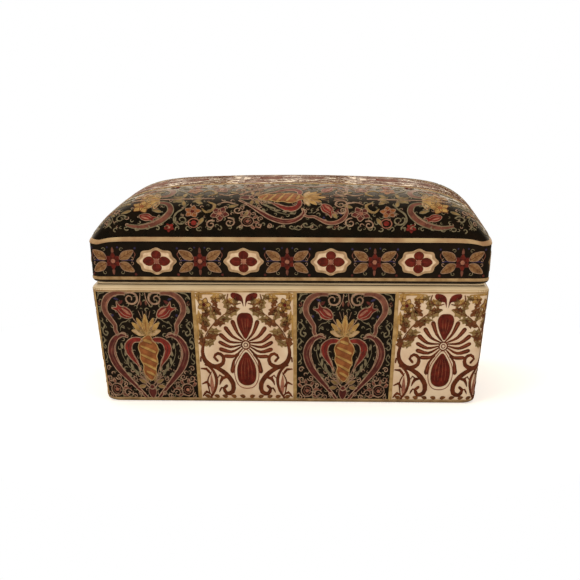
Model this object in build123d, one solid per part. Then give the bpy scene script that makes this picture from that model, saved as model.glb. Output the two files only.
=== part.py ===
from build123d import *
from math import pi, sin
import os

# A lidded ceramic box: a tapered, footed tub with a raised collar inside its rim, and a
# pillow-domed lid whose wall drops over that collar and rests on the rim.
# Millimetres. The origin is on the table, under the middle of the box. +X runs along the
# front, +Y towards the back and +Z up.

# Lid: sizes across its shoulder, the line where the side band meets the dome
lid_width = 203.0
lid_depth = 127.0
lid_corner_radius = 6.0
lid_band_height = 22.0
lid_band_draft = 1.5          # how far each side leans in from the shoulder to the band's foot
lid_wall = 5.5
lid_edge_radius = 2.0         # rounding of the band's lower outer edge
lid_bead_height = 1.2         # the narrow lip under the band that stands on the tub's rim
lid_bead_inset = 2.2

# Dome: a shallow crown that turns down into steep sides. The powers set how near the edge it
# turns down, and the hip sharpness how tightly two neighbouring sides meet at a corner
dome_rise = 25.8
crown_share = 0.20            # the part of the rise that the shallow crown takes
turn_power_width = 8
turn_power_depth = 6
hip_sharpness = 3
shoulder_radius = 1.5         # rounding where the dome meets the band
crown_wall = 6.0

# Tub: sizes across its rim
rim_width = 201.0
rim_depth = 125.0
rim_corner_radius = 6.0
rim_radius = 2.5              # rounding of the rim's outer edge
tub_height = 61.3             # table to the rim that the lid rests on
tub_draft = 6.75              # how far each side leans in from the rim to the foot
tub_wall = 5.5
tub_floor = 5.0
tub_foot_radius = 3.0         # rounding of the lower outer edge
tub_inner_radius = 4.0        # rounding between floor and walls, inside
foot_corner_radius = 5.0

# Foot ring: a shallow hollow under the floor leaves a ring to stand on
foot_hollow_depth = 1.5
foot_ring_width = 6.0

# Collar: the raised lip inside the rim that keeps the lid in place
collar_height = 6.0
collar_wall = 3.4
collar_clearance = 0.8        # gap on each side between the collar and the lid's inside
collar_edge_radius = 1.0
collar_blend = 7.0            # height of the slope inside that leads from the wall to the collar

# The dome's surface is drawn through a grid of points that runs a little past the shoulder and
# gathers towards the edges, where the surface turns down
dome_reach = 1.03
dome_half_steps = 20
edge_gathering = 0.8
dome_tolerance = 0.02

# How far one solid runs into, or past, the next before they are joined or cut
overlap = 1.0
hair = 0.01                   # how near a height an edge must be to count as lying at it

# Slip fills the corners of the mould, so both pieces have rounder corners inside than a plain
# offset of their outsides would leave
inner_corner_radius = 5.0

band_foot_z = tub_height + lid_bead_height
shoulder_z = band_foot_z + lid_band_height
lean_per_height = lid_band_draft / lid_band_height


def outline(width, depth, radius, z):
    """A rounded rectangle at height z, round the vertical axis."""
    return Pos(0, 0, z) * RectangleRounded(width, depth, radius)


def tapered(low, high):
    """A straight-sided solid between two (width, depth, radius, z) outlines."""
    return loft([outline(*low), outline(*high)], ruled=True)


def inset(section, amount, radius=None):
    """The same outline drawn in on every side, with its corners offset or of a given radius."""
    width, depth, corner, z = section
    return (width - 2 * amount, depth - 2 * amount, radius or corner - amount, z)


def dome_lift(u, v):
    """The dome's height as a share of its rise, with u and v from -1 to 1 across the lid."""
    crown = 1 - (1 - u**2) * (1 - v**2)
    along = abs(u) ** (turn_power_width * hip_sharpness)
    across = abs(v) ** (turn_power_depth * hip_sharpness)
    turn = (along + across) ** (1 / hip_sharpness)
    return 1 - crown_share * crown - (1 - crown_share) * turn


def dome_mass(width, depth, rise):
    """Everything under a dome that meets the shoulder's height on a width by depth rectangle."""
    arc = edge_gathering * pi / 2
    steps = range(-dome_half_steps, dome_half_steps + 1)
    places = [dome_reach * sin(arc * i / dome_half_steps) / sin(arc) for i in steps]
    points = [
        [(u * width / 2, v * depth / 2, shoulder_z + rise * dome_lift(u, v)) for v in places]
        for u in places
    ]
    surface = Face.make_surface_from_array_of_points(points, tol=dome_tolerance, max_deg=3)
    return Solid.extrude(surface, Vector(0, 0, -shoulder_z))


def lid_section(z, wall=0.0):
    """The lid's outline at height z, or its inside's. The sides lean at one angle all the way."""
    lean = lean_per_height * (shoulder_z - z)
    radius = inner_corner_radius if wall else lid_corner_radius
    return inset((lid_width, lid_depth, radius, z), lean + wall, radius)


def domed_block(wall, low_z, width, depth, rise):
    """The lid's outer form, or the hollow inside it: leaning sides under a dome."""
    high_z = shoulder_z + dome_rise + overlap
    sides = tapered(lid_section(low_z, wall), lid_section(high_z, wall))
    return sides & dome_mass(width, depth, rise)


def make_lid():
    """The lid: side band, dome and the bead that rests on the tub's rim."""
    body = domed_block(0.0, band_foot_z, lid_width, lid_depth, dome_rise)
    foot_edges = body.edges().filter_by_position(Axis.Z, band_foot_z - hair, band_foot_z + hair)
    body = fillet(foot_edges, lid_edge_radius)
    shoulder = body.faces().sort_by(Axis.Z)[-1].edges()
    body = fillet(shoulder, shoulder_radius)
    bead_low = inset(lid_section(tub_height), lid_bead_inset)
    bead_high = inset(lid_section(band_foot_z + overlap), lid_bead_inset)
    body += tapered(bead_low, bead_high)
    hollow_width = lid_width - 2 * lid_wall
    hollow_depth = lid_depth - 2 * lid_wall
    hollow = domed_block(lid_wall, tub_height - overlap, hollow_width, hollow_depth, dome_rise - crown_wall)
    return body - hollow


def make_tub():
    """The tub: footed walls and floor, a rounded rim and the collar inside it."""
    rim = (rim_width, rim_depth, rim_corner_radius, tub_height)
    foot = (rim_width - 2 * tub_draft, rim_depth - 2 * tub_draft, foot_corner_radius, 0)
    body = tapered(foot, rim)
    body = fillet(body.edges().group_by(Axis.Z)[0], tub_foot_radius)
    body = fillet(body.edges().group_by(Axis.Z)[-1], rim_radius)

    # The collar follows the lid's inside, less the clearance
    collar_outer = inset(lid_section(tub_height, lid_wall), collar_clearance, inner_corner_radius)
    width, depth, radius, _ = collar_outer
    collar_top_z = tub_height + collar_height
    collar = tapered((width, depth, radius, tub_height - overlap), (width, depth, radius, collar_top_z))
    collar = fillet(collar.edges().group_by(Axis.Z)[-1], collar_edge_radius)
    body += collar

    # The hollow: leaning walls, a slope in to the collar, and the straight mouth
    floor_z = foot_hollow_depth + tub_floor
    slope_z = tub_height - collar_blend
    mouth = inset(collar_outer, collar_wall, inner_corner_radius)[:3]

    def inside(z):
        lean = tub_draft * (1 - z / tub_height)
        return (*inset(rim, lean + tub_wall, inner_corner_radius)[:3], z)

    well = tapered(inside(floor_z), inside(slope_z))
    well = fillet(well.edges().group_by(Axis.Z)[0], tub_inner_radius)
    neck = tapered(inside(slope_z), (*mouth, tub_height))
    throat = tapered((*mouth, tub_height), (*mouth, collar_top_z + overlap))
    body -= well + neck + throat

    ring_inner = inset(foot, tub_foot_radius + foot_ring_width, foot_corner_radius)
    hollow_top = (*ring_inner[:3], foot_hollow_depth)
    hollow_foot = (*ring_inner[:3], -overlap)
    return body - tapered(hollow_foot, hollow_top)


os.makedirs("parts", exist_ok=True)
for name, piece in (("tub", make_tub()), ("lid", make_lid())):
    export_step(piece, f"parts/{name}.step")
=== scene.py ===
"""The looks of a lidded ceramic box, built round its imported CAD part.

The box is slip-cast and glazed: a tapered tub, and a pillow-domed lid that rests on its rim.
Twelve panels of raised enamel run round the tub, medallions and rosettes round the lid's side
band, and scrollwork lies lengthwise over the dome. Sizes are in millimetres until a mesh is made.
"""

import logging
import math
from dataclasses import dataclass, field, replace
from enum import Enum
from typing import Callable, Optional, Sequence

import bpy
from mathutils import Matrix, Vector, geometry


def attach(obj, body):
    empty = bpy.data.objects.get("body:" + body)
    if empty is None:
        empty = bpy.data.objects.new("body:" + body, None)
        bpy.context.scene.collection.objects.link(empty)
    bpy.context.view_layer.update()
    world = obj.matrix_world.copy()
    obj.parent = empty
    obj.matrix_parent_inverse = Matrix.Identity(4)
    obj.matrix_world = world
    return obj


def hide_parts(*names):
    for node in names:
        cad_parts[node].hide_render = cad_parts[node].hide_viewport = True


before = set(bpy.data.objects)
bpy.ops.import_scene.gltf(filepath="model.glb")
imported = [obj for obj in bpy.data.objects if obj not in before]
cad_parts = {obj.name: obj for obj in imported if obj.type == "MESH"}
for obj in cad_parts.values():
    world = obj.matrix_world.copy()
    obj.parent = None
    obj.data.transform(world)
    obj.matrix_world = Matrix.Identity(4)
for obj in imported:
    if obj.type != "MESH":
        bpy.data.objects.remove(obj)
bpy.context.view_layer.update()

logging.basicConfig(level=logging.INFO, format="%(message)s")
log = logging.getLogger("box")

MM = 0.001
# Half the width of the pale stripe along the crown, in mm
HALF_STRIPE = 23.5
# Half the distance over which a surface's slope is measured, in mm
PROBE = 0.05
Point = tuple[float, float]
Place = Callable[[float, float, float], Vector]


class Level(Enum):
    """Heights of the enamel's layers, against the CAD surface, which is the top of its lines."""

    GROUND = -0.24
    SPRIG = -0.17
    FILL = -0.12
    OVER = -0.08
    LINE = 0.0
    SUNK = -0.34


def linear(hex_colour: str) -> tuple[float, float, float, float]:
    """Turn an sRGB hex colour into linear RGBA."""
    values = [int(hex_colour[i : i + 2], 16) / 255 for i in (1, 3, 5)]
    parts = [v / 12.92 if v <= 0.04045 else ((v + 0.055) / 1.055) ** 2.4 for v in values]
    return (parts[0], parts[1], parts[2], 1.0)


def add_node(
    tree: bpy.types.NodeTree,
    kind: str,
    inputs: Optional[dict] = None,
    settings: Optional[dict] = None,
) -> bpy.types.Node:
    """Add a node with its settings and links.

    Args:
        tree: the tree it goes into.
        kind: the node's type name.
        inputs: values, or the sockets to link from, by input name or number.
        settings: the node's own properties.

    Returns:
        The new node.
    """
    node = tree.nodes.new(kind)
    for name, value in (settings or {}).items():
        setattr(node, name, value)
    for key, value in (inputs or {}).items():
        if isinstance(value, bpy.types.NodeSocket):
            tree.links.new(value, node.inputs[key])
        else:
            node.inputs[key].default_value = value
    return node


@dataclass(frozen=True)
class Finish:
    """One glaze or enamel.

    Args:
        name: the material's name.
        colour: its main colour, sRGB hex.
        shade: the colour it drifts to in patches.
        patch: the size of those patches, mm.
        roughness: how matt it is under its clear glaze.
        coat: how much clear glaze lies over it.
        metallic: 1 for gilding, part of it for gilt enamel.
        ripple: the unevenness of its surface, mm.
    """

    name: str
    colour: str
    shade: str
    patch: float = 5.0
    roughness: float = 0.5
    coat: float = 0.8
    metallic: float = 0.0
    ripple: float = 0.03
    # How far apart the glaze's swells lie, in mm, how soft its mirror is, the gloss of the ground
    # under it, and the stretch of noise over which the colour drifts
    WAVE = 7.0
    GLAZE_ROUGHNESS = 0.14
    GLOSS_UNDER_GLAZE = 0.1
    PATCH_SPAN = (0.35, 0.65)

    def material(self) -> bpy.types.Material:
        """Make the material, or give the one already made."""
        made = bpy.data.materials.get(self.name)
        if made:
            return made
        made = bpy.data.materials.new(self.name)
        made.use_nodes = True
        tree = made.node_tree
        shader = tree.nodes["Principled BSDF"]
        where = add_node(tree, "ShaderNodeTexCoord").outputs["Object"]
        tree.links.new(self.mottle(tree, where), shader.inputs["Base Color"])
        waves = {"Vector": where, "Scale": 1 / (self.WAVE * MM), "Detail": 1.0}
        swell = add_node(tree, "ShaderNodeTexNoise", waves)
        bump = {"Height": swell.outputs["Fac"], "Distance": self.ripple * MM, "Strength": 1.0}
        relief = add_node(tree, "ShaderNodeBump", bump)
        tree.links.new(relief.outputs["Normal"], shader.inputs["Normal"])
        shader.inputs["Roughness"].default_value = self.roughness
        shader.inputs["Metallic"].default_value = self.metallic
        shader.inputs["Coat Weight"].default_value = self.coat
        shader.inputs["Coat Roughness"].default_value = self.GLAZE_ROUGHNESS
        shader.inputs["Specular IOR Level"].default_value = self.GLOSS_UNDER_GLAZE
        return made

    def mottle(self, tree: bpy.types.NodeTree, where: bpy.types.NodeSocket) -> bpy.types.NodeSocket:
        """Mix the main colour and the shade in soft patches.

        Args:
            tree: the material's node tree.
            where: the Object coordinates.

        Returns:
            The mixed colour's socket.
        """
        grain = {"Vector": where, "Scale": 1 / (self.patch * MM), "Detail": 3.0}
        noise = add_node(tree, "ShaderNodeTexNoise", grain)
        low, high = self.PATCH_SPAN
        span = {"Value": noise.outputs["Fac"], "From Min": low, "From Max": high}
        share = add_node(tree, "ShaderNodeMapRange", span)
        colours = {0: share.outputs["Result"], 6: linear(self.colour), 7: linear(self.shade)}
        mixed = add_node(tree, "ShaderNodeMix", colours, {"data_type": "RGBA"})
        return mixed.outputs[2]


@dataclass(frozen=True)
class StripedFinish(Finish):
    """The dome's ground: a pale stripe along the crown and dark slopes in front and behind.

    Args:
        crown: the pale stripe's finish.
        half_stripe: half the stripe's width across the lid, mm.
    """

    crown: Optional[Finish] = None
    half_stripe: float = HALF_STRIPE

    def mottle(self, tree: bpy.types.NodeTree, where: bpy.types.NodeSocket) -> bpy.types.NodeSocket:
        """Mix the slopes' colour with the crown's, by the distance from the middle line.

        Args:
            tree: the material's node tree.
            where: the Object coordinates.

        Returns:
            The mixed colour's socket.
        """
        slope = super().mottle(tree, where)
        crown = self.crown.mottle(tree, where)
        parts = add_node(tree, "ShaderNodeSeparateXYZ", {0: where})
        off = add_node(tree, "ShaderNodeMath", {0: parts.outputs["Y"]}, {"operation": "ABSOLUTE"})
        past = {0: off.outputs[0], 1: self.half_stripe * MM}
        dark = add_node(tree, "ShaderNodeMath", past, {"operation": "GREATER_THAN"})
        colours = {0: dark.outputs[0], 6: crown, 7: slope}
        mixed = add_node(tree, "ShaderNodeMix", colours, {"data_type": "RGBA"})
        return mixed.outputs[2]


# Ivory and black-green grounds, painted on and fired under a thin clear glaze
IVORY_GROUND = Finish("ivory_ground_glaze", "#D8C8B2", "#CBB298", 9.0)
DARK_GROUND = Finish("black_green_ground_glaze", "#1A1008", "#110D07", 6.0)


class Paint(Enum):
    """The glazes and enamels on the box."""

    DARK = DARK_GROUND
    CREAM = IVORY_GROUND
    # The lid has the thicker glaze, and shines most
    STRIPED = StripedFinish("dome_ground_glaze", "#181008", "#100D07", 6.0, crown=IVORY_GROUND, coat=0.9)
    # Clear glaze over a white body, yellowed a little
    IVORY = Finish("clear_glaze_on_ivory_body", "#D0C0A2", "#C8B696", 18.0)
    # Unglazed fired body, where the box stands
    BISQUE = Finish("unglazed_body", "#C9B795", "#B8A480", 3.0, 0.85, 0.0)
    # Bright gold fired over the glaze, worn to ochre
    GOLD = Finish("gilt_enamel", "#BEA270", "#9E7E50", 3.0, 0.42, 0.3, 0.2)
    PALE_GOLD = Finish("pale_gilt_line", "#C6AE86", "#A68464", 11.0, 0.38, 0.4, 0.2)
    RIM_GOLD = Finish("worn_gilt_line", "#B49870", "#907450", 4.0, 0.45, 0.3, 0.15)
    # Painted shadow: dark lines along the lid's rounded foot and in the seam where its bead rests on the rim
    SEAM = Finish("seam_line", "#3A2A1A", "#251A10", 4.0, 0.6, 0.0)
    # Opaque enamels, painted on thickly and fired: waxy, with a soft shine
    OUTLINE = Finish("tan_outline_enamel", "#A0846E", "#7E6454", 2.5)
    PLUM = Finish("plum_enamel", "#5E2A26", "#451F1C", 3.0)
    MAUVE = Finish("mauve_enamel", "#76493C", "#58342B", 3.0)
    RED = Finish("dark_red_enamel", "#802A24", "#5E1E19", 2.5)
    ORANGE = Finish("orange_brown_enamel", "#925A32", "#704020", 3.0)
    OCHRE = Finish("gold_ochre_enamel", "#AE8C52", "#8E6E3C", 3.0)
    OLIVE = Finish("olive_leaf_enamel", "#8E764C", "#6E5A38", 2.5)
    BROWN = Finish("brown_leaf_enamel", "#764A2A", "#56341E", 2.5)
    SEPIA = Finish("sepia_enamel", "#663018", "#4C2210", 3.0)
    MAROON = Finish("maroon_enamel", "#681F14", "#48140D", 2.5)
    RUST = Finish("rust_streak_enamel", "#84452F", "#6B3324", 2.5)
    PALE = Finish("pale_scroll_enamel", "#7E765E", "#625A46", 2.5)
    BONE = Finish("bone_enamel", "#B89E7C", "#9A8060", 2.5)
    SAND = Finish("sand_enamel", "#B09478", "#947860", 2.5)
    PETAL = Finish("blush_enamel", "#D8C4AA", "#C6AA8C", 2.5)
    LEAF = Finish("tan_leaf_enamel", "#8C6A46", "#6C4C30", 2.0)
    ROSE = Finish("rose_enamel", "#A06E58", "#805044", 2.0)
    VIOLET = Finish("violet_enamel", "#362F54", "#282542", 2.0)


def spline(points: Sequence[Point], closed: bool, step: float) -> list[Point]:
    """Run a smooth line through points.

    Args:
        points: what it passes through.
        closed: whether it comes back to its start.
        step: the rough distance between the points given back.

    Returns:
        The line's points.
    """
    count = len(points)
    if count == 2 and not closed:
        points = (points[0], points[0], points[1], points[1])
        count = 4
    spans = count if closed else count - 1
    line: list[Point] = []
    for i in range(spans):
        if closed:
            a, b, c, d = (points[(i + k - 1) % count] for k in range(4))
        else:
            a, b, c, d = (points[min(max(i + k - 1, 0), count - 1)] for k in range(4))
        cuts = max(1, round(math.dist(b, c) / step))
        for k in range(cuts):
            t = k / cuts
            line.append(tuple(
                0.5 * (2 * q + (r - p) * t + (2 * p - 5 * q + 4 * r - s) * t * t
                       + (3 * q - p - 3 * r + s) * t ** 3)
                for p, q, r, s in zip(a, b, c, d)
            ))
    if not closed:
        line.append(tuple(points[-1]))
    return line


def spread(values: Sequence[float], count: int) -> list[float]:
    """Spread a few values evenly over a count of places, with straight steps between them."""
    if len(values) == 1:
        return [values[0]] * count
    out = []
    for i in range(count):
        t = i / max(1, count - 1) * (len(values) - 1)
        k = min(int(t), len(values) - 2)
        out.append(values[k] + (values[k + 1] - values[k]) * (t - k))
    return out


def shifted(line: Sequence[Point], offsets: Sequence[float], closed: bool = False) -> list[Point]:
    """Move each point of a line sideways, to its left, by its own offset."""
    count = len(line)
    out = []
    for i, (x, y) in enumerate(line):
        before = line[i - 1] if i or closed else line[0]
        after = line[(i + 1) % count] if i < count - 1 or closed else line[-1]
        dx, dy = after[0] - before[0], after[1] - before[1]
        length = math.hypot(dx, dy) or 1.0
        out.append((x - dy / length * offsets[i], y + dx / length * offsets[i]))
    return out


@dataclass(frozen=True)
class Stroke:
    """A raised line of enamel, half round.

    Args:
        path: the points it runs through.
        widths: its widths, spread evenly along it.
        paint: its enamel.
        closed: whether it comes back to its start.
        top: how high it stands.
    """

    path: tuple[Point, ...]
    widths: tuple[float, ...]
    paint: Paint
    closed: bool = False
    top: float = Level.LINE.value


@dataclass(frozen=True)
class Patch:
    """A filled shape of enamel with a soft edge.

    Args:
        outline: the points its edge runs through.
        paint: its enamel.
        top: how high it stands.
        cornered: whether the points are joined by straight lines.
    """

    outline: tuple[Point, ...]
    paint: Paint
    top: float = Level.FILL.value
    cornered: bool = False


@dataclass
class Drawing:
    """A flat drawing in enamel, in mm, that a relief lays on the ware."""

    shapes: list = field(default_factory=list)

    def line(self, path: Sequence[Point], widths: Sequence[float], paint: Paint,
             closed: bool = False, top: float = Level.LINE.value) -> None:
        """Draw a raised line.

        Args:
            path: the points it runs through.
            widths: its widths, spread along it.
            paint: its enamel.
            closed: whether it comes back to its start.
            top: how high it stands.
        """
        self.shapes.append(Stroke(tuple(path), tuple(widths), paint, closed, top))

    def fill(self, outline: Sequence[Point], paint: Paint, edge: Optional[Paint] = None,
             width: float = 0.45, top: float = Level.FILL.value) -> None:
        """Fill a shape, with a raised line round it if an edge is given.

        Args:
            outline: the points its edge runs through.
            paint: its enamel.
            edge: the line's enamel.
            width: the line's width.
            top: how high the fill stands.
        """
        self.shapes.append(Patch(tuple(outline), paint, top))
        if edge:
            self.line(outline, (width,), edge, closed=True)

    def lines(self, paint: Paint, *rows: tuple[Sequence[float], Sequence[Point]]) -> None:
        """Draw raised lines of one enamel, each given by its widths and its path."""
        for widths, path in rows:
            self.line(path, widths, paint)

    def band(self, path: Sequence[Point], widths: Sequence[float], paint: Paint, edge: Paint,
             line: float) -> None:
        """Draw a strap: a filled band with a raised line along both sides.

        Args:
            path: the points its middle runs through.
            widths: its widths, spread along it.
            paint: the fill's enamel.
            edge: the lines' enamel.
            line: the lines' width.
        """
        middle = spline(path, False, 1.2)
        half = [w / 2 for w in spread(widths, len(middle))]
        left = shifted(middle, half)
        right = shifted(middle, [-h for h in half])
        self.shapes.append(Patch(tuple(left + right[::-1]), paint, cornered=True))
        self.line(left, (line,), edge)
        self.line(right, (line,), edge)

    def curl(self, x: float, y: float, radius: float, start: float, turn: float,
             widths: Sequence[float], paint: Paint) -> None:
        """Draw a spiral that winds inwards.

        Args:
            x: its middle.
            y: its middle.
            radius: how far out it starts.
            start: the angle it starts at, in degrees.
            turn: how far it winds, in degrees, positive to the left.
            widths: its widths, spread along it.
            paint: its enamel.
        """
        steps, end_share = max(4, int(abs(turn) / 30)), 0.25
        path = []
        for i in range(steps + 1):
            reach = radius * (1 - (1 - end_share) * i / steps)
            angle = math.radians(start + turn * i / steps)
            path.append((x + reach * math.cos(angle), y + reach * math.sin(angle)))
        self.line(path, widths, paint)

    def leaf(self, x: float, y: float, length: float, width: float, angle: float, paint: Paint,
             edge: Optional[Paint] = None, top: float = Level.FILL.value, line: float = 0.35) -> None:
        """Draw a leaf with its stalk at a point.

        Args:
            x: the stalk's place.
            y: the stalk's place.
            length: stalk to tip.
            width: across its belly.
            angle: the way it points, in degrees.
            paint: its enamel.
            edge: the enamel of a line round it.
            top: how high it stands.
            line: that line's width.
        """
        half = width / 2
        shape = [(0, 0), (length * 0.3, half * 0.9), (length * 0.62, half * 0.8), (length, 0),
                 (length * 0.62, -half * 0.8), (length * 0.3, -half * 0.9)]
        cos, sin = math.cos(math.radians(angle)), math.sin(math.radians(angle))
        turned = [(x + a * cos - b * sin, y + a * sin + b * cos) for a, b in shape]
        self.fill(turned, paint, edge, line, top)

    @staticmethod
    def circle(x: float, y: float, radius: float, count: int) -> list[Point]:
        """Give points spaced evenly round a circle."""
        turns = [2 * math.pi * k / count for k in range(count)]
        return [(x + radius * math.cos(t), y + radius * math.sin(t)) for t in turns]

    def ring(self, x: float, y: float, radius: float, width: float, paint: Paint) -> None:
        """Draw a circle as a raised line."""
        self.line(self.circle(x, y, radius, 8), (width,), paint, closed=True)

    def dot(self, x: float, y: float, radius: float, paint: Paint,
            top: float = Level.OVER.value) -> None:
        """Draw a filled dot."""
        self.fill(self.circle(x, y, radius, 6), paint, top=top)

    def add(self, other: "Drawing", x: float = 0.0, y: float = 0.0, angle: float = 0.0,
            size: Point = (1.0, 1.0)) -> None:
        """Add another drawing, scaled, turned and moved.

        Args:
            other: what is added.
            x: where its origin goes.
            y: where its origin goes.
            angle: how far it is turned, in degrees.
            size: its scale along and across, negative to mirror it.
        """
        cos, sin = math.cos(math.radians(angle)), math.sin(math.radians(angle))

        def moved(path: Sequence[Point]) -> tuple[Point, ...]:
            """Move one path."""
            out = []
            for a, b in path:
                a, b = a * size[0], b * size[1]
                out.append((x + a * cos - b * sin, y + a * sin + b * cos))
            return tuple(out)

        for shape in other.shapes:
            if isinstance(shape, Stroke):
                scale = math.sqrt(abs(size[0] * size[1]))
                widths = tuple(w * scale for w in shape.widths)
                self.shapes.append(replace(shape, path=moved(shape.path), widths=widths))
            else:
                self.shapes.append(replace(shape, outline=moved(shape.outline)))

    def mirrored(self) -> "Drawing":
        """Give this drawing with its mirror image across x = 0 added."""
        both = Drawing()
        both.add(self)
        both.add(self, size=(-1.0, 1.0))
        return both


@dataclass(frozen=True)
class Girth:
    """The outside of a leaning, round-cornered box, unrolled: x runs round it and z up it.

    Args:
        half_width: half its width at the top.
        half_depth: half its depth at the top.
        corner: the corners' radius at the top.
        low_corner: the corners' radius at the foot.
        foot_z: the foot's height.
        top_z: the top's height.
        draft: how far each side leans in from top to foot.
        foot_round: the rounding of the foot's edge.
        top_round: the rounding of the top's edge.
    """

    half_width: float
    half_depth: float
    corner: float
    low_corner: float
    foot_z: float
    top_z: float
    draft: float
    foot_round: float
    top_round: float = 0.0

    def section(self, z: float) -> tuple[float, float, float]:
        """Give half the width, half the depth and the corner radius at a height."""
        share = (self.top_z - z) / (self.top_z - self.foot_z)
        inset = self.draft * share
        for low, radius in ((z - self.foot_z, self.foot_round), (self.top_z - z, self.top_round)):
            if radius and low < radius:
                drop = radius - max(low, 0.0)
                inset += radius - math.sqrt(max(0.0, radius * radius - drop * drop))
        corner = self.corner + (self.low_corner - self.corner) * min(share, 1.0)
        return self.half_width - inset, self.half_depth - inset, corner

    def reach(self, side: int) -> float:
        """Give the unrolled length from the middle of a side to the middle of its corner."""
        length = self.half_depth if side % 2 else self.half_width
        return length - self.corner + self.corner * math.pi / 4

    def period(self) -> float:
        """Give the length once round."""
        return 4 * (self.reach(0) + self.reach(1))

    def locate(self, x: float) -> tuple[int, float]:
        """Turn an unrolled place into a side and a share of it, from -1 to 1."""
        along = (x + self.reach(0)) % self.period()
        for side in range(4):
            reach = self.reach(side)
            if along <= 2 * reach:
                return side, along / reach - 1
            along -= 2 * reach
        return 0, -1.0

    def at(self, side: int, share: float, z: float, lift: float) -> Vector:
        """Give the place in metres of a side's share at a height, lifted off the surface."""
        half_width, half_depth, corner = self.section(z)
        clear = 0.02
        low, high = max(z - PROBE, self.foot_z + clear), min(z + PROBE, self.top_z - clear)
        slope = (self.section(high)[0] - self.section(low)[0]) / max(high - low, 1e-6)
        x, y, nx, ny = plan(half_width, half_depth, corner, side, share)
        flat = 1 / math.hypot(1, slope)
        rise = -slope * flat
        return Vector((x + nx * flat * lift, y + ny * flat * lift, z + rise * lift)) * MM

    def place(self, x: float, z: float, lift: float) -> Vector:
        """Give the place in metres of an unrolled point, lifted off the surface."""
        side, share = self.locate(x)
        return self.at(side, share, z, lift)


def plan(half_width: float, half_depth: float, corner: float, side: int,
         share: float) -> tuple[float, float, float, float]:
    """Find a point of a rounded rectangle, and the way out from it.

    Args:
        half_width: half the rectangle's width.
        half_depth: half its depth.
        corner: its corners' radius.
        side: 0 front, 1 right, 2 back, 3 left.
        share: -1 to 1 between the middles of that side's corners.

    Returns:
        The point and the outward direction.
    """
    length, depth = (half_depth, half_width) if side % 2 else (half_width, half_depth)
    straight = length - corner
    along = share * (straight + corner * math.pi / 4)
    if abs(along) <= straight:
        x, y, nx, ny = along, -depth, 0.0, -1.0
    else:
        angle = (abs(along) - straight) / corner
        way = math.copysign(1.0, along)
        nx, ny = way * math.sin(angle), -math.cos(angle)
        x, y = way * straight + corner * nx, -(depth - corner) + corner * ny
    for _ in range(side):
        x, y, nx, ny = -y, x, -ny, nx
    return x, y, nx, ny


@dataclass(frozen=True)
class Dome:
    """The lid's crown and slopes, as the CAD draws them.

    Args:
        half_width: half the shoulder's width.
        half_depth: half its depth.
        shoulder_z: the shoulder's height.
        rise: shoulder to the top.
    """

    half_width: float
    half_depth: float
    shoulder_z: float
    rise: float
    crown_share: float = 0.20
    power_width: int = 8
    power_depth: int = 6
    hip: int = 3

    def height(self, x: float, y: float) -> float:
        """Give the surface's height over a point of the table."""
        u, v = abs(x / self.half_width), abs(y / self.half_depth)
        crown = 1 - (1 - u * u) * (1 - v * v)
        turn = (u ** (self.power_width * self.hip) + v ** (self.power_depth * self.hip)) ** (1 / self.hip)
        return self.shoulder_z + self.rise * (1 - self.crown_share * crown - (1 - self.crown_share) * turn)

    def over(self, x: float, y: float, lift: float) -> Vector:
        """Give the place in metres of the surface over a point, lifted off it."""
        z = self.height(x, y)
        slope_x = (self.height(x + PROBE, y) - self.height(x - PROBE, y)) / (2 * PROBE)
        slope_y = (self.height(x, y + PROBE) - self.height(x, y - PROBE)) / (2 * PROBE)
        out = Vector((-slope_x, -slope_y, 1)).normalized()
        return (Vector((x, y, z)) + out * lift) * MM

    def arc_table(self, ends: bool = False) -> list[Point]:
        """Give the arc length and the place of points from one shoulder over to the other.

        Args:
            ends: whether it runs from the left end to the right one, and not from front to back.

        Returns:
            Rows of an arc and the x or y it is reached at.
        """
        steps = 400
        rows, arc = [], 0.0
        reach = self.half_width if ends else self.half_depth
        last = (-reach, self.shoulder_z)
        for i in range(steps + 1):
            along = reach * (2 * i / steps - 1)
            here = (along, self.height(along, 0.0) if ends else self.height(0.0, along))
            arc += math.dist(last, here)
            rows.append((arc, along))
            last = here
        return rows


class Slope:
    """One way to draw on the dome: x along one of its edges, and the arc up from that shoulder."""

    def __init__(self, dome: Dome, turned: bool, ends: bool = False) -> None:
        """Work out the arc.

        Args:
            dome: the surface.
            turned: whether it is the back or the right end, and not the front or the left end.
            ends: whether it is one of the short ends.
        """
        self.dome = dome
        self.way = -1.0 if turned else 1.0
        self.ends = ends
        self.rows = dome.arc_table(ends)

    def place(self, x: float, arc: float, lift: float) -> Vector:
        """Give the place in metres of a point of the drawing, lifted off the surface."""
        rows = self.rows
        step = len(rows) - 1
        low, high = 0, step
        while high - low > 1:
            middle = (low + high) // 2
            if rows[middle][0] < arc:
                low = middle
            else:
                high = middle
        span = rows[high][0] - rows[low][0]
        share = min(max((arc - rows[low][0]) / span, 0.0), 1.0)
        across = rows[low][1] + (rows[high][1] - rows[low][1]) * share
        limit = (self.dome.half_depth if self.ends else self.dome.half_width) - 0.3
        x = min(max(x, -limit), limit)
        if self.ends:
            return self.dome.over(self.way * across, -self.way * x, lift)
        return self.dome.over(self.way * x, self.way * across, lift)


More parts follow.
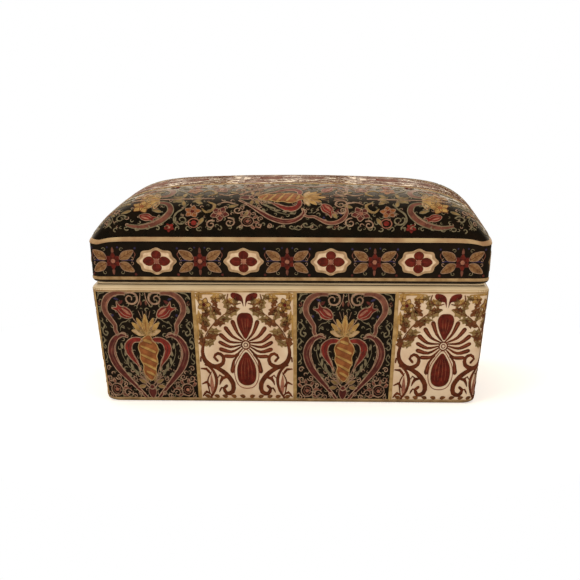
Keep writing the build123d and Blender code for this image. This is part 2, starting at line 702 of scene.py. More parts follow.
def make_object(name: str, points: Sequence[Vector], faces: Sequence[Sequence[int]],
                paints: Sequence[Paint], sharp: float) -> bpy.types.Object:
    """Make a smooth-shaded mesh piece with one material for each paint on it.

    Args:
        name: the piece's name.
        points: its points, in metres.
        faces: its faces.
        paints: each face's paint.
        sharp: the angle past which an edge is kept crisp, in degrees.

    Returns:
        The object, with its place in its mesh.
    """
    mesh = bpy.data.meshes.new(name)
    mesh.from_pydata([tuple(p) for p in points], [], [tuple(f) for f in faces])
    used = sorted(set(paints), key=lambda p: p.name)
    for paint in used:
        mesh.materials.append(paint.value.material())
    numbers = {paint: i for i, paint in enumerate(used)}
    mesh.polygons.foreach_set("material_index", [numbers[p] for p in paints])
    mesh.polygons.foreach_set("use_smooth", [True] * len(mesh.polygons))
    mesh.set_sharp_from_angle(angle=math.radians(sharp))
    mesh.validate()
    piece = bpy.data.objects.new(name, mesh)
    bpy.context.scene.collection.objects.link(piece)
    return piece


class Relief:
    """Raised enamel on one surface, as one mesh."""

    # A rib's profile: shares of its width, and how far its shoulder lies under its top
    HALF = 0.5
    SHOULDER = 0.36
    SHOULDER_DROP = 0.25
    CREASE = 50.0

    def __init__(self, name: str, place: Place, grain: float) -> None:
        """Start an empty relief.

        Args:
            name: the piece's name.
            place: turns a drawing's point and a lift into a place in metres.
            grain: the largest face that still follows the surface, mm.
        """
        self.name = name
        self.place = place
        self.grain = grain
        self.points: list[Vector] = []
        self.faces: list[Sequence[int]] = []
        self.paints: list[Paint] = []

    def draw(self, drawing: Drawing, x: float = 0.0, y: float = 0.0, angle: float = 0.0,
             size: Point = (1.0, 1.0)) -> None:
        """Lay a drawing on the surface, scaled, turned and moved."""
        moved = Drawing()
        moved.add(drawing, x, y, angle, size)
        for shape in moved.shapes:
            if isinstance(shape, Stroke):
                self.lay_stroke(shape)
            else:
                self.lay_patch(shape)

    def lay_stroke(self, stroke: Stroke) -> None:
        """Lay one raised line: a half-round rib whose edges are sunk in the ground."""
        step = min(self.grain, max(0.5, max(stroke.widths)))
        line = spline(stroke.path, stroke.closed, step)
        widths = spread(stroke.widths, len(line))
        if not stroke.closed:
            line, widths = self.rounded_ends(line, widths)
        sunk = Level.SUNK.value
        shoulder = stroke.top - self.SHOULDER_DROP * (stroke.top - Level.GROUND.value)
        edge = ((self.HALF, sunk), (self.SHOULDER, shoulder))
        profile = edge + ((0.0, stroke.top),) + tuple((-part, lift) for part, lift in edge[::-1])
        rows = []
        for part, lift in profile:
            side = shifted(line, [w * part for w in widths], stroke.closed)
            rows.append([self.place(px, py, lift) for px, py in side])
        first, count = len(self.points), len(line)
        for row in rows:
            self.points.extend(row)
        for k in range(len(rows) - 1):
            for i in range(count if stroke.closed else count - 1):
                j = (i + 1) % count
                a, b = first + k * count, first + (k + 1) * count
                self.faces.append((a + i, b + i, b + j, a + j))
                self.paints.append(stroke.paint)

    @staticmethod
    def rounded_ends(line: list[Point], widths: list[float]) -> tuple[list[Point], list[float]]:
        """Add a round end to both ends of an open line."""
        for _ in range(2):
            (x, y), (bx, by) = line[-1], line[-2]
            length = math.dist(line[-1], line[-2]) or 1.0
            dx, dy = (x - bx) / length, (y - by) / length
            width = widths[-1]
            for reach, share in ((0.35, 0.72), (0.5, 0.06)):
                line.append((x + dx * width * reach, y + dy * width * reach))
                widths.append(width * share)
            line, widths = line[::-1], widths[::-1]
        return line, widths

    def lay_patch(self, patch: Patch) -> None:
        """Lay one filled shape, with a skirt down into the ground."""
        edge = list(patch.outline) if patch.cornered else spline(patch.outline, True, 0.9)
        area = sum(a[0] * b[1] - b[0] * a[1] for a, b in zip(edge, edge[1:] + edge[:1]))
        if area < 0:
            edge = edge[::-1]
        count = len(edge)
        flat = [Vector(p) for p in edge + self.inner_points(edge)]
        loop = [(i, (i + 1) % count) for i in range(count)]
        made = geometry.delaunay_2d_cdt(flat, loop, [], 1, 1e-4)
        first = len(self.points)
        self.points.extend(self.place(p.x, p.y, patch.top) for p in made[0])
        for triangle in made[2]:
            self.faces.append([first + i for i in triangle])
            self.paints.append(patch.paint)
        skirt = len(self.points)
        sunk = Level.SUNK.value
        self.points.extend(self.place(x, y, patch.top) for x, y in edge)
        self.points.extend(self.place(x, y, sunk) for x, y in edge)
        for i in range(count):
            j = (i + 1) % count
            self.faces.append((skirt + i, skirt + count + i, skirt + count + j, skirt + j))
            self.paints.append(patch.paint)

    def inner_points(self, edge: Sequence[Point]) -> list[Point]:
        """Give grid points inside a shape, so that its faces follow a curved surface."""
        low_x, high_x = min(p[0] for p in edge), max(p[0] for p in edge)
        low_y, high_y = min(p[1] for p in edge), max(p[1] for p in edge)
        across, up = int((high_x - low_x) / self.grain), int((high_y - low_y) / self.grain)
        found = []
        for i in range(1, across + 1):
            for j in range(1, up + 1):
                x = low_x + (high_x - low_x) * i / (across + 1)
                y = low_y + (high_y - low_y) * j / (up + 1)
                near = min(math.dist((x, y), p) for p in edge)
                if near > self.grain * 0.4 and inside(x, y, edge):
                    found.append((x, y))
        return found

    def add_mesh(self, mesh: bpy.types.Mesh, paint: Paint) -> None:
        """Wrap a flat mesh, in mm with its lift as z, onto the surface."""
        first = len(self.points)
        self.points.extend(self.place(v.co.x, v.co.y, v.co.z) for v in mesh.vertices)
        for face in mesh.polygons:
            self.faces.append([first + i for i in face.vertices])
            self.paints.append(paint)

    def finish(self, body: str) -> bpy.types.Object:
        """Make the mesh piece and fix it to a CAD body."""
        piece = make_object(self.name, self.points, self.faces, self.paints, self.CREASE)
        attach(piece, body)
        log.info("%s: %d faces on %s", self.name, len(self.faces), body)
        return piece


def inside(x: float, y: float, edge: Sequence[Point]) -> bool:
    """Tell whether a point is inside a closed line."""
    found = False
    for (ax, ay), (bx, by) in zip(edge, list(edge[1:]) + [edge[0]]):
        if (ay > y) != (by > y) and x < (bx - ax) * (y - ay) / (by - ay) + ax:
            found = not found
    return found


@dataclass
class Motifs:
    """The drawings that the panels, the band and the dome are made from."""

    outline: float = 0.5

    def bud(self) -> Drawing:
        """A tulip bud that points along x, with its stalk at the origin."""
        d = Drawing()
        d.fill([(0, 0), (2.2, 2.4), (5.6, 2.9), (8.2, 1.9), (11.0, 3.0), (9.6, 0.4), (11.6, -1.4),
                (8.2, -1.6), (5.4, -2.9), (2.0, -2.2)], Paint.RED, Paint.OUTLINE, self.outline)
        d.leaf(1.2, 0.5, 6.2, 1.5, 8, Paint.ROSE, top=Level.OVER.value)
        d.line([(1.4, -0.8), (4.6, -1.4), (8.0, -0.4)], (0.4,), Paint.OUTLINE)
        d.line([(2.0, 1.5), (5.2, 2.0), (8.6, 1.0)], (0.35,), Paint.PLUM)
        return d

    def lotus(self) -> Drawing:
        """An open flower of seven pointed petals that points along y, with its base at the origin."""
        d = Drawing()
        for angle, length, paint in ((76, 8.4, Paint.BONE), (51, 9.8, Paint.OCHRE), (27, 9.6, Paint.OCHRE)):
            for way in (-1, 1):
                d.leaf(way * 0.7, 0.2, length, 3.3, 90 - way * angle, paint, Paint.GOLD, line=0.4)
        d.leaf(0, 0, 10.8, 3.9, 90, Paint.OCHRE, Paint.GOLD, Level.OVER.value, 0.45)
        d.line([(0, 1.6), (0, 8.0)], (0.3, 0.6, 0.2), Paint.ORANGE)
        for x in (-2.0, 2.0):
            d.line([(x * 0.5, 1.8), (x * 1.3, 6.6)], (0.25, 0.5, 0.2), Paint.ORANGE)
        for x in (-2.4, -0.8, 0.8, 2.4):
            d.line([(x * 0.9, 8.6), (x * 1.5, 12.6)], (0.35, 0.3), Paint.OUTLINE)
        return d

    def vase(self) -> Drawing:
        """A twisted vase that holds an open flower."""
        d = Drawing()
        right = [(1.5, 35.4), (2.9, 32.8), (5.2, 30.0), (5.7, 27.0), (4.5, 24.2), (4.8, 21.0), (3.4, 17.8),
                 (3.1, 14.6), (0.5, 11.4)]
        left = [(-2.6, 13.4), (-3.9, 16.4), (-3.6, 19.4), (-5.1, 22.6), (-4.8, 25.6), (-5.6, 28.6),
                (-4.1, 31.8), (-1.9, 34.0)]
        d.fill(right + left, Paint.ORANGE, Paint.GOLD, 0.6)
        twists = ((32.8, 31.6, 2.4), (29.8, 26.4, 4.4), (25.4, 21.4, 4.8), (20.8, 17.2, 3.8),
                  (16.4, 14.2, 2.4))
        for low, high, wide in twists:
            middle = (low + high) / 2
            d.fill([(-wide, low), (-wide * 0.2, middle + 0.8), (wide, high + 0.2), (wide * 0.9, high - 0.8),
                    (0, middle - 0.9), (-wide * 0.9, low - 0.8)], Paint.OCHRE, top=Level.OVER.value)
            d.line([(-wide, low - 1.0), (0, middle - 1.1), (wide * 0.95, high - 1.2)], (0.3, 0.6, 0.3),
                   Paint.BROWN)
        d.add(self.lotus(), 0, 35.4, size=(0.92, 1.0))
        return d

    def corner_scrolls(self) -> Drawing:
        """The small scrolls that fill the right lower corner of a dark panel."""
        d = Drawing()
        d.ring(19.2, 6.4, 3.2, 0.6, Paint.OUTLINE)
        d.ring(19.2, 6.4, 1.9, 0.45, Paint.MAUVE)
        d.dot(19.2, 6.4, 1.0, Paint.ROSE)
        for angle in (35, 80, 125, 170, 215):
            way = math.radians(angle)
            d.leaf(19.2 + 3.5 * math.cos(way), 6.4 + 3.5 * math.sin(way), 2.8, 1.5, angle, Paint.MAUVE,
                   Paint.OUTLINE, line=0.35)
        spirals = [
            (13.4, 4.8, 2.2, 150, -420), (9.6, 3.0, 1.4, 20, 380), (22.0, 12.4, 1.9, 200, 400),
            (17.4, 13.2, 1.7, -20, -400), (22.4, 17.6, 1.5, 150, -380), (14.2, 9.2, 1.3, 60, 400),
            (6.8, 4.6, 1.2, 200, -360), (23.0, 2.8, 1.2, 90, 300),
        ]
        for x, z, radius, start, turn in spirals:
            d.curl(x, z, radius, start, turn, (0.65, 0.45), Paint.OUTLINE)
        d.line([(24.0, 9.4), (22.9, 11.0), (23.6, 13.2)], (0.6, 0.4), Paint.ROSE)
        d.line([(11.2, 7.8), (12.4, 6.8), (15.6, 7.6)], (0.5, 0.7, 0.3), Paint.MAUVE)
        return d

    def dark_panel(self, weight: float = 1.0) -> Drawing:
        """The dark panel: a vase of flowers in a heart of two straps, under two volutes.

        Args:
            weight: the straps' thickness, as a share of the widths written below.

        Returns:
            The drawing, with its foot's middle at the origin.
        """
        d = Drawing()
        strap = [(8.8, 57.0), (13.4, 57.2), (17.6, 55.2), (20.0, 51.4), (20.0, 47.2), (17.8, 43.4),
                 (16.0, 40.4), (16.0, 37.6), (14.8, 35.2)]
        strap_widths = [weight * w for w in (1.6, 2.6, 3.6, 3.4, 2.8, 2.2, 1.8)]
        d.band(strap, strap_widths, Paint.MAUVE, Paint.OUTLINE, 0.5)
        d.line([(14.0, 56.3), (17.4, 54.0), (19.3, 50.8), (19.2, 47.4)], (0.3, 0.6, 0.3), Paint.ROSE)
        d.line([(14.8, 35.2), (12.6, 36.6), (10.8, 35.8), (11.4, 34.2)], (0.6,), Paint.OUTLINE)
        d.line([(8.8, 57.2), (6.2, 57.5), (3.5, 56.4), (3.0, 53.6), (4.8, 51.6), (7.6, 51.9), (8.7, 54.2),
                (7.2, 55.8), (5.6, 54.9), (5.8, 53.7)], (1.0, 1.2, 1.2, 1.0, 0.8, 0.6), Paint.OUTLINE)
        d.line([(1.2, 57.2), (1.7, 53.6), (3.2, 50.6)], (0.5,), Paint.OUTLINE)
        heart = [(10.0, 34.2), (13.0, 35.2), (16.5, 33.5), (18.9, 29.4), (19.2, 24.4), (16.9, 18.2),
                 (12.8, 12.8), (8.6, 8.2), (5.6, 4.8), (3.0, 1.6)]
        heart_widths = [weight * w for w in (0.9, 2.4, 3.8, 4.7, 4.6, 3.9, 3.0, 2.2, 1.8, 1.5)]
        d.band(heart, heart_widths, Paint.PLUM, Paint.OUTLINE, 0.6)
        d.line([(12.8, 34.3), (15.7, 32.4), (17.7, 28.8), (17.9, 24.4), (15.6, 18.8), (11.6, 13.6),
                (7.6, 9.0)], (0.3, 0.5, 0.5, 0.3), Paint.OUTLINE)
        d.line([(16.8, 32.6), (19.2, 28.0), (19.4, 24.0), (17.4, 19.0)], (0.3, 0.9, 0.9, 0.3), Paint.MAUVE)
        d.fill([(3.0, 33.6), (7.4, 33.9), (11.4, 31.2), (12.2, 27.0), (9.8, 22.8), (6.6, 19.2), (5.2, 16.4),
                (6.2, 21.4), (8.0, 25.0), (8.5, 28.6), (7.0, 31.2), (3.0, 31.8)], Paint.RED, Paint.OUTLINE,
               0.55)
        d.line([(7.6, 32.8), (10.2, 29.6), (9.8, 25.8), (7.6, 21.8)], (0.3, 0.6, 0.3), Paint.PLUM)
        d.add(self.bud(), 6.4, 44.7, 32, (0.96, 0.98))
        d.line([(6.6, 44.8), (4.4, 41.4), (2.4, 38.2)], (0.55,), Paint.OUTLINE)
        d.line([(7.4, 44.4), (9.8, 42.4), (12.0, 41.8), (13.6, 40.0)], (0.45,), Paint.PALE)
        d.line([(11.2, 38.8), (13.0, 39.4), (13.4, 37.6)], (0.5, 0.3), Paint.PALE)
        d.add(self.side_scroll(), 22.2, 41.6)
        d.add(self.side_scroll(), 22.8, 33.4, 12, (0.8, 0.8))
        d.add(self.corner_scrolls())
        d.line([(23.9, 21.4), (22.3, 23.4), (23.3, 26.0)], (0.7, 0.4), Paint.PALE)
        d.line([(1.2, 9.2), (3.8, 11.8), (6.8, 13.6)], (0.9, 0.5), Paint.OUTLINE)
        d.line([(3.4, 13.4), (5.6, 16.0), (6.4, 18.6)], (0.4, 0.7, 0.3), Paint.PALE)
        for x, z, angle in ((1.6, 10.6, 66), (2.6, 9.8, 28), (3.2, 8.4, -8)):
            d.leaf(x, z, 4.6, 1.9, angle, Paint.OLIVE, Paint.OUTLINE, line=0.3)
        d.curl(4.4, 14.4, 1.5, 250, 380, (0.6, 0.4), Paint.OUTLINE)
        d.curl(8.2, 12.2, 1.4, 60, -380, (0.6, 0.4), Paint.OUTLINE)
        d.line([(2.4, 11.6), (4.6, 17.0), (7.2, 22.4), (9.0, 27.2)], (0.5, 0.4, 0.3), Paint.OUTLINE)
        for x, z, length, angle in ((6.4, 13.8, 4.8, 58), (8.8, 16.2, 5.0, 74), (11.6, 19.4, 4.2, 92),
                                    (12.6, 24.0, 4.0, 104), (10.0, 13.8, 3.4, 30), (13.4, 27.8, 3.4, 80)):
            d.leaf(x, z, length, 1.6, angle, Paint.PALE)
        d.line([(10.6, 18.0), (13.2, 22.4), (14.4, 27.0), (13.4, 31.0)], (0.5, 0.3), Paint.PALE)
        d.line([(23.8, 54.2), (22.4, 56.6), (19.6, 57.3)], (0.8, 0.5), Paint.PALE)
        d.leaf(23.2, 46.8, 4.0, 1.7, 106, Paint.PALE)
        d.curl(23.2, 51.6, 1.2, 90, 300, (0.5,), Paint.MAUVE)
        d.leaf(10.4, 53.4, 4.6, 1.6, -36, Paint.PLUM)
        d.leaf(10.2, 51.2, 3.4, 1.2, -70, Paint.PALE)
        d.leaf(12.4, 53.6, 3.0, 1.3, 20, Paint.VIOLET)
        d.leaf(1.4, 50.6, 3.2, 1.2, 92, Paint.MAUVE)
        d.dot(16.6, 45.6, 0.7, Paint.VIOLET)
        whole = d.mirrored()
        whole.add(self.vase(), size=(0.92, 1.0))
        whole.fill([(0, 1.8), (2.0, 4.6), (1.5, 7.6), (0, 9.0), (-1.5, 7.6), (-2.0, 4.6)], Paint.PLUM,
                   Paint.OUTLINE, 0.45)
        whole.line([(-3.8, 10.0), (0, 6.6), (3.8, 10.0)], (0.5, 0.9, 0.5), Paint.OUTLINE)
        return whole

    def side_scroll(self) -> Drawing:
        """A small S of pale enamel for the panel's edges."""
        d = Drawing()
        snake = [(0.8, 0.8), (-1.0, -1.2), (0.6, -3.4), (0.6, -5.6), (-1.2, -6.6), (-1.8, -5.0),
                 (-0.8, -4.4)]
        d.lines(Paint.PALE, ((0.5, 1.1, 0.8, 1.0, 0.6), snake),
                ((0.3, 0.7, 0.3), [(1.6, -3.0), (2.2, -1.2), (1.4, 0.8)]))
        return d

    def cream_panel(self) -> Drawing:
        """The ivory panel: a palmette of slender clubs round a ring, under an arch of leaves."""
        d = Drawing()
        clubs = [
            ([(0.9, 33.0), (4.1, 36.8), (6.3, 42.2)], 2.4),
            ([(1.7, 32.4), (6.7, 34.8), (10.0, 39.0)], 2.3),
            ([(2.3, 31.6), (8.3, 32.0), (12.7, 35.4)], 2.3),
            ([(2.6, 30.4), (8.2, 29.3), (13.3, 31.6)], 2.0),
            ([(2.5, 29.4), (7.6, 26.7), (13.0, 28.0)], 2.2),
            ([(2.0, 28.2), (5.8, 24.6), (10.8, 24.4)], 1.9),
            ([(3.9, 25.2), (6.6, 22.0), (7.5, 16.8)], 2.6),
        ]
        for path, width in clubs:
            d.line(path, (0.8, 1.2, 1.7, 2.4, width * 1.15), Paint.SEPIA, top=-0.06)
            d.line(path[1:], (0.25, 0.6, 0.9), Paint.RUST)
        d.leaf(18.8, 3.6, 10.8, 2.2, 88, Paint.ROSE)
        d.lines(
            Paint.SEPIA,
            ((1.2, 2.1, 2.9, 2.7, 2.2, 1.8, 1.5),
             [(21.8, 31.6), (23.0, 26.6), (21.6, 21.6), (17.0, 18.8), (12.6, 20.6), (12.2, 24.2),
              (14.9, 25.9), (17.0, 23.8), (15.4, 22.0)]),
            ((1.3, 2.4, 2.9, 2.9, 2.5, 1.8),
             [(21.8, 19.8), (16.0, 18.2), (10.8, 14.6), (7.6, 9.8), (8.0, 5.6), (11.2, 4.6), (12.6, 7.4),
              (11.2, 8.6)]),
            ((1.2, 2.0, 1.2), [(21.2, 20.0), (17.8, 16.4), (16.4, 11.6), (17.6, 6.2), (20.0, 2.6)]),
            ((0.5, 1.0, 0.5), [(19.0, 16.0), (21.2, 11.4), (20.6, 5.6), (19.4, 2.4)]),
            ((0.7, 2.0, 0.8), [(19.4, 14.8), (21.6, 17.6), (24.2, 17.8)]),
            ((0.7, 2.0, 0.7), [(20.2, 8.4), (22.0, 10.6), (24.2, 9.6)]),
            ((0.7, 1.7, 0.7), [(19.8, 4.0), (22.2, 5.4), (24.2, 3.2)]),
            ((0.7, 2.2, 0.6), [(9.6, 13.2), (13.2, 12.8), (14.8, 9.4)]),
            ((0.4, 1.3, 0.5), [(12.4, 12.6), (14.6, 14.4), (15.6, 13.0)]),
            ((0.5, 1.4, 0.5), [(12.2, 7.6), (14.0, 7.6), (15.2, 5.4)]),
            ((0.5, 1.1, 0.5), [(24.0, 24.2), (24.3, 21.4)]),
        )
        leaves = [
            (22.8, 28.8, 88, 0.62, Paint.BROWN), (22.0, 30.0, 152, 0.6, Paint.OLIVE),
            (22.4, 33.8, 64, 0.5, Paint.OLIVE), (21.2, 34.0, 164, 0.66, Paint.BROWN),
            (20.6, 37.0, 78, 0.64, Paint.BROWN), (19.6, 37.4, 176, 0.6, Paint.OLIVE),
            (18.4, 40.0, 52, 0.62, Paint.OLIVE), (16.6, 40.6, 150, 0.72, Paint.BROWN),
            (15.4, 43.2, 70, 0.66, Paint.OLIVE), (13.6, 44.0, 178, 0.6, Paint.OLIVE),
            (12.2, 45.8, 44, 0.6, Paint.BROWN), (10.6, 46.2, 158, 0.74, Paint.OLIVE),
            (8.2, 48.4, 72, 0.62, Paint.OLIVE), (8.4, 49.0, 172, 0.5, Paint.BROWN),
            (5.2, 49.8, 96, 0.5, Paint.OLIVE), (23.2, 41.0, 84, 0.62, Paint.OCHRE),
            (22.4, 44.6, 140, 0.54, Paint.BROWN), (14.0, 50.0, 60, 0.5, Paint.BROWN),
            (10.2, 52.0, 150, 0.48, Paint.OCHRE), (17.6, 47.6, 20, 0.5, Paint.OCHRE),
        ]
        for x, z, angle, size, paint in leaves:
            d.add(self.acanthus(paint), x, z, angle, (size * 1.5, size * 1.3))
        d.line([(23.2, 27.6), (21.8, 33.0), (19.0, 38.0), (14.8, 42.8), (9.8, 46.8), (4.6, 49.6)],
               (0.5, 0.7, 0.4), Paint.BROWN)
        d.add(self.blossom(Paint.OCHRE, Paint.MAROON), 20.6, 51.4, 20, (1.15, 1.15))
        d.add(self.acanthus(Paint.OCHRE), 23.6, 52.8, 96, (0.8, 0.8))
        d.add(self.acanthus(Paint.OCHRE), 17.4, 55.0, 178, (0.9, 0.9))
        d.add(self.acanthus(Paint.OLIVE), 13.2, 54.4, 150, (0.6, 0.6))
        d.line([(24.4, 57.0), (18.0, 57.2), (11.0, 57.0)], (1.0, 1.4, 0.6), Paint.OCHRE)
        d.line([(24.6, 45.0), (24.5, 38.0), (24.6, 33.0)], (1.0, 1.2, 0.5), Paint.OCHRE)
        d.fill([(0.5, 50.4), (1.6, 53.2), (4.4, 53.6), (6.8, 55.8), (6.2, 57.6), (3.0, 57.2), (0.9, 55.2)],
               Paint.MAROON)
        d.line([(2.0, 52.2), (5.6, 51.6), (8.6, 53.8), (8.2, 56.8)], (0.6, 1.1, 0.6), Paint.BROWN)
        for x in (2.6, 7.4, 12.2, 16.6, 21.8):
            d.leaf(x - 1.5, 2.8, 3.2, 2.2, 14, Paint.BROWN)
        whole = d.mirrored()
        whole.fill([(0, 47.0), (2.6, 46.5), (3.9, 44.0), (3.4, 40.4), (1.7, 36.4), (0, 33.8), (-1.7, 36.4),
                    (-3.4, 40.4), (-3.9, 44.0), (-2.6, 46.5)], Paint.MAROON, Paint.SEPIA, 0.6)
        for x in (-1.6, 0.1, 1.7):
            whole.line([(x, 44.4), (x * 0.8, 40.6), (x * 0.4, 37.0)], (0.25, 0.6, 0.25), Paint.RUST)
        ring = [(0, 28.0), (3.6, 24.0), (6.2, 18.6), (6.2, 12.8), (4.0, 8.6), (0, 7.4)]
        whole.line(ring + [(-x, z) for x, z in ring[-2:0:-1]], (0.45,), Paint.RUST, closed=True)
        whole.fill([(0, 26.4), (2.2, 24.0), (4.3, 19.8), (4.9, 15.6), (4.3, 11.6), (2.4, 9.7), (0, 9.2),
                    (-2.4, 9.7), (-4.3, 11.6), (-4.9, 15.6), (-4.3, 19.8), (-2.2, 24.0)], Paint.MAROON,
                   Paint.SEPIA, 0.6)
        for x in (-2.7, -1.0, 0.9, 2.7):
            whole.line([(x * 0.5, 23.4), (x, 18.4), (x, 12.4)], (0.25, 0.65, 0.3), Paint.RUST)
        whole.ring(0, 30.4, 2.2, 0.8, Paint.SEPIA)
        whole.ring(0, 30.4, 1.0, 0.5, Paint.MAROON)
        return whole

    def acanthus(self, paint: Paint) -> Drawing:
        """A ragged, flame-like leaf that points along x."""
        d = Drawing()
        d.fill([(0, 0), (1.0, 1.5), (2.5, 1.5), (2.3, 2.9), (4.2, 2.3), (5.4, 2.9), (5.9, 1.3), (8.2, 0.3),
                (6.0, -0.6), (5.3, -2.1), (3.8, -1.3), (2.6, -2.6), (1.5, -1.1)], paint)
        d.lines(Paint.SEPIA, ((0.3, 0.5, 0.2), [(0.6, 0), (3.0, 0.4), (6.2, 0.3)]),
                ((0.35, 0.2), [(2.4, 0.3), (3.2, 1.6)]), ((0.35, 0.2), [(3.0, 0.3), (3.6, -1.0)]))
        return d

    def blossom(self, paint: Paint, eye: Paint, edge: Paint = Paint.BROWN) -> Drawing:
        """A small five-petalled flower."""
        d = Drawing()
        for k in range(5):
            d.leaf(0, 0, 3.2, 2.6, 18 + 72 * k, paint, edge, line=0.3)
        d.dot(0, 0, 0.8, eye, Level.LINE.value)
        return d

    def medallion(self) -> Drawing:
        """An ivory eight-lobed medallion with a red quatrefoil."""
        d = Drawing()
        for reach, paint, edge, top in ((1.0, Paint.SAND, Paint.BONE, Level.FILL.value),
                                        (0.88, Paint.PETAL, Paint.BONE, Level.OVER.value)):
            lobes = []
            for k in range(16):
                angle = k * math.pi / 8
                swell = reach * (1.0 if k % 2 == 0 else 0.87)
                lobes.append((10.0 * swell * math.cos(angle), 6.7 * swell * math.sin(angle)))
            d.fill(lobes, paint, edge, 0.6, top)
        petals = Level.OVER.value + 0.03
        for way in (-1, 1):
            long = [(0.9, 0), (2.6, 2.1), (5.1, 2.0), (6.9, 0), (5.1, -2.0), (2.6, -2.1)]
            tall = [(0, 0.9), (2.2, 2.4), (2.1, 4.4), (0, 5.5), (-2.1, 4.4), (-2.2, 2.4)]
            d.fill([(way * x, y) for x, y in long], Paint.MAROON, Paint.SEPIA, 0.4, petals)
            d.fill([(x, way * y) for x, y in tall], Paint.MAROON, Paint.SEPIA, 0.4, petals)
            d.lines(Paint.RED, ((0.3, 0.5, 0.2), [(way * 2.0, 0), (way * 4.4, 0)]),
                    ((0.3, 0.5, 0.2), [(0, way * 1.8), (0, way * 3.8)]))
        d.dot(0, 0, 1.4, Paint.ROSE, Level.LINE.value)
        return d

    def rosette(self) -> Drawing:
        """A maroon flower between four broad slanting leaves."""
        d = Drawing()
        for turn in (31, -31, 149, -149):
            way = math.radians(turn)
            x, y = 3.9 * math.cos(way), 2.0 * math.sin(way)
            d.leaf(x, y, 8.4, 4.6, turn, Paint.LEAF, Paint.OUTLINE, line=0.36)
            tip = (x + 7.4 * math.cos(way), y + 7.4 * math.sin(way))
            d.line([(x, y), tip], (0.5, 0.3), Paint.BROWN)
            for share in (0.35, 0.6):
                px, py = x + 8 * share * math.cos(way), y + 8 * share * math.sin(way)
                for side in (-1, 1):
                    angle = way + side * 0.8
                    d.line([(px, py), (px + 1.9 * math.cos(angle), py + 1.9 * math.sin(angle))], (0.35, 0.2),
                           Paint.BROWN)
        for k in range(6):
            d.leaf(0, 0, 4.3, 3.0, 30 + 60 * k, Paint.MAROON, Paint.PLUM, Level.OVER.value, 0.35)
        d.dot(0, 0, 1.2, Paint.ROSE, Level.LINE.value)
        for way in (-1, 1):
            d.line([(way * 4.6, 0.3), (way * 8.0, 0.5), (way * 10.4, 0.0)], (0.4, 0.8, 0.3), Paint.VIOLET)
            d.leaf(0, way * 3.6, 3.6, 1.6, way * 90, Paint.MAUVE)
            d.dot(way * 2.6, 7.0, 0.5, Paint.VIOLET)
            d.dot(way * 11.4, 6.6, 0.6, Paint.VIOLET)
            d.dot(way * 11.2, -6.8, 0.7, Paint.PLUM)
            d.line([(way * 10.6, 1.6), (way * 11.4, 3.4), (way * 10.6, 5.0)], (0.3, 0.6, 0.3), Paint.MAUVE)
            for up in (-1, 1):
                d.curl(way * 4.4, up * 5.8, 1.1, 90 - way * 60, way * up * 300, (0.45, 0.3), Paint.PALE)
                d.curl(way * 9.6, up * 1.0, 1.0, 90 * up, -way * up * 260, (0.4, 0.3), Paint.OUTLINE)
        return d

    def half_spray(self) -> Drawing:
        """One long edge of the dome's end: a large scroll with flowers, right of the vase."""
        d = Drawing()
        d.band([(51.0, 6.2), (45.0, 5.0), (38.4, 6.6), (32.6, 10.4), (29.6, 15.4), (31.0, 20.4),
                (35.6, 21.8), (38.6, 18.8), (36.4, 16.6)], (1.3, 2.6, 3.6, 3.8, 3.2, 2.6, 2.0, 1.5),
               Paint.MAUVE, Paint.PALE, 0.6)
        d.line([(45.0, 5.8), (38.8, 7.6), (33.6, 11.2), (30.8, 15.6)], (0.3, 0.7, 0.3), Paint.OUTLINE)
        d.add(self.blossom(Paint.OCHRE, Paint.ORANGE), 44.4, 19.2, 12, (1.6, 1.6))
        d.add(self.bud(), 45.2, 12.4, 196, (0.8, 0.8))
        d.add(self.blossom(Paint.ORANGE, Paint.MAROON, Paint.OUTLINE), 18.4, 14.8, 10, (1.3, 1.3))
        d.ring(17.4, 7.4, 2.7, 0.6, Paint.ROSE)
        d.dot(17.4, 7.4, 1.5, Paint.RED)
        d.curl(23.6, 9.4, 3.3, 20, -420, (1.1, 0.6), Paint.PALE)
        d.line([(20.8, 20.4), (23.6, 16.6), (26.6, 13.8), (27.6, 9.0), (24.6, 5.0)],
               (0.6, 1.0, 1.2, 0.8, 0.4), Paint.PALE)
        d.add(self.blossom(Paint.RED, Paint.ROSE, Paint.MAROON), 29.6, 4.6, 40, (0.85, 0.85))
        d.add(self.blossom(Paint.PLUM, Paint.ROSE, Paint.OUTLINE), 4.6, 13.4, 30, (1.5, 1.5))
        d.line([(10.6, 21.8), (7.2, 19.6), (8.4, 15.8), (11.6, 14.4), (13.6, 16.8)], (0.8, 2.0, 1.8, 0.9),
               Paint.OLIVE)
        d.curl(-0.6, 7.6, 3.0, 80, 420, (1.0, 0.6), Paint.OUTLINE)
        d.curl(8.6, 6.4, 2.7, 120, -420, (1.0, 0.6), Paint.OUTLINE)
        d.curl(-4.6, 15.6, 2.5, 200, 400, (0.9, 0.5), Paint.OUTLINE)
        d.line([(-4.4, 19.4), (1.6, 21.8), (5.8, 20.0)], (0.6, 1.0, 0.5), Paint.OUTLINE)
        for x, y, angle in ((12.6, 10.6, -60), (13.6, 20.4, 34), (22.6, 18.6, 78), (34.0, 14.6, 20),
                            (40.4, 22.2, 60), (49.6, 16.4, -20), (50.4, 21.8, 40), (23.6, 22.6, 12),
                            (0.4, 17.6, 160), (-7.4, 10.4, 120)):
            d.leaf(x, y, 5.4, 2.1, angle, Paint.OLIVE, Paint.PALE, line=0.35)
        d.curl(54.6, 11.0, 2.8, 160, -400, (1.0, 0.6), Paint.PALE)
        d.curl(57.4, 17.6, 2.4, 20, 400, (0.9, 0.5), Paint.OUTLINE)
        d.line([(53.0, 22.2), (57.0, 23.6), (61.0, 21.6), (62.6, 17.4)], (0.6, 1.1, 0.6), Paint.PALE)
        d.line([(58.8, 5.2), (60.4, 8.4), (59.6, 12.0)], (0.5, 1.1, 0.5), Paint.PALE)
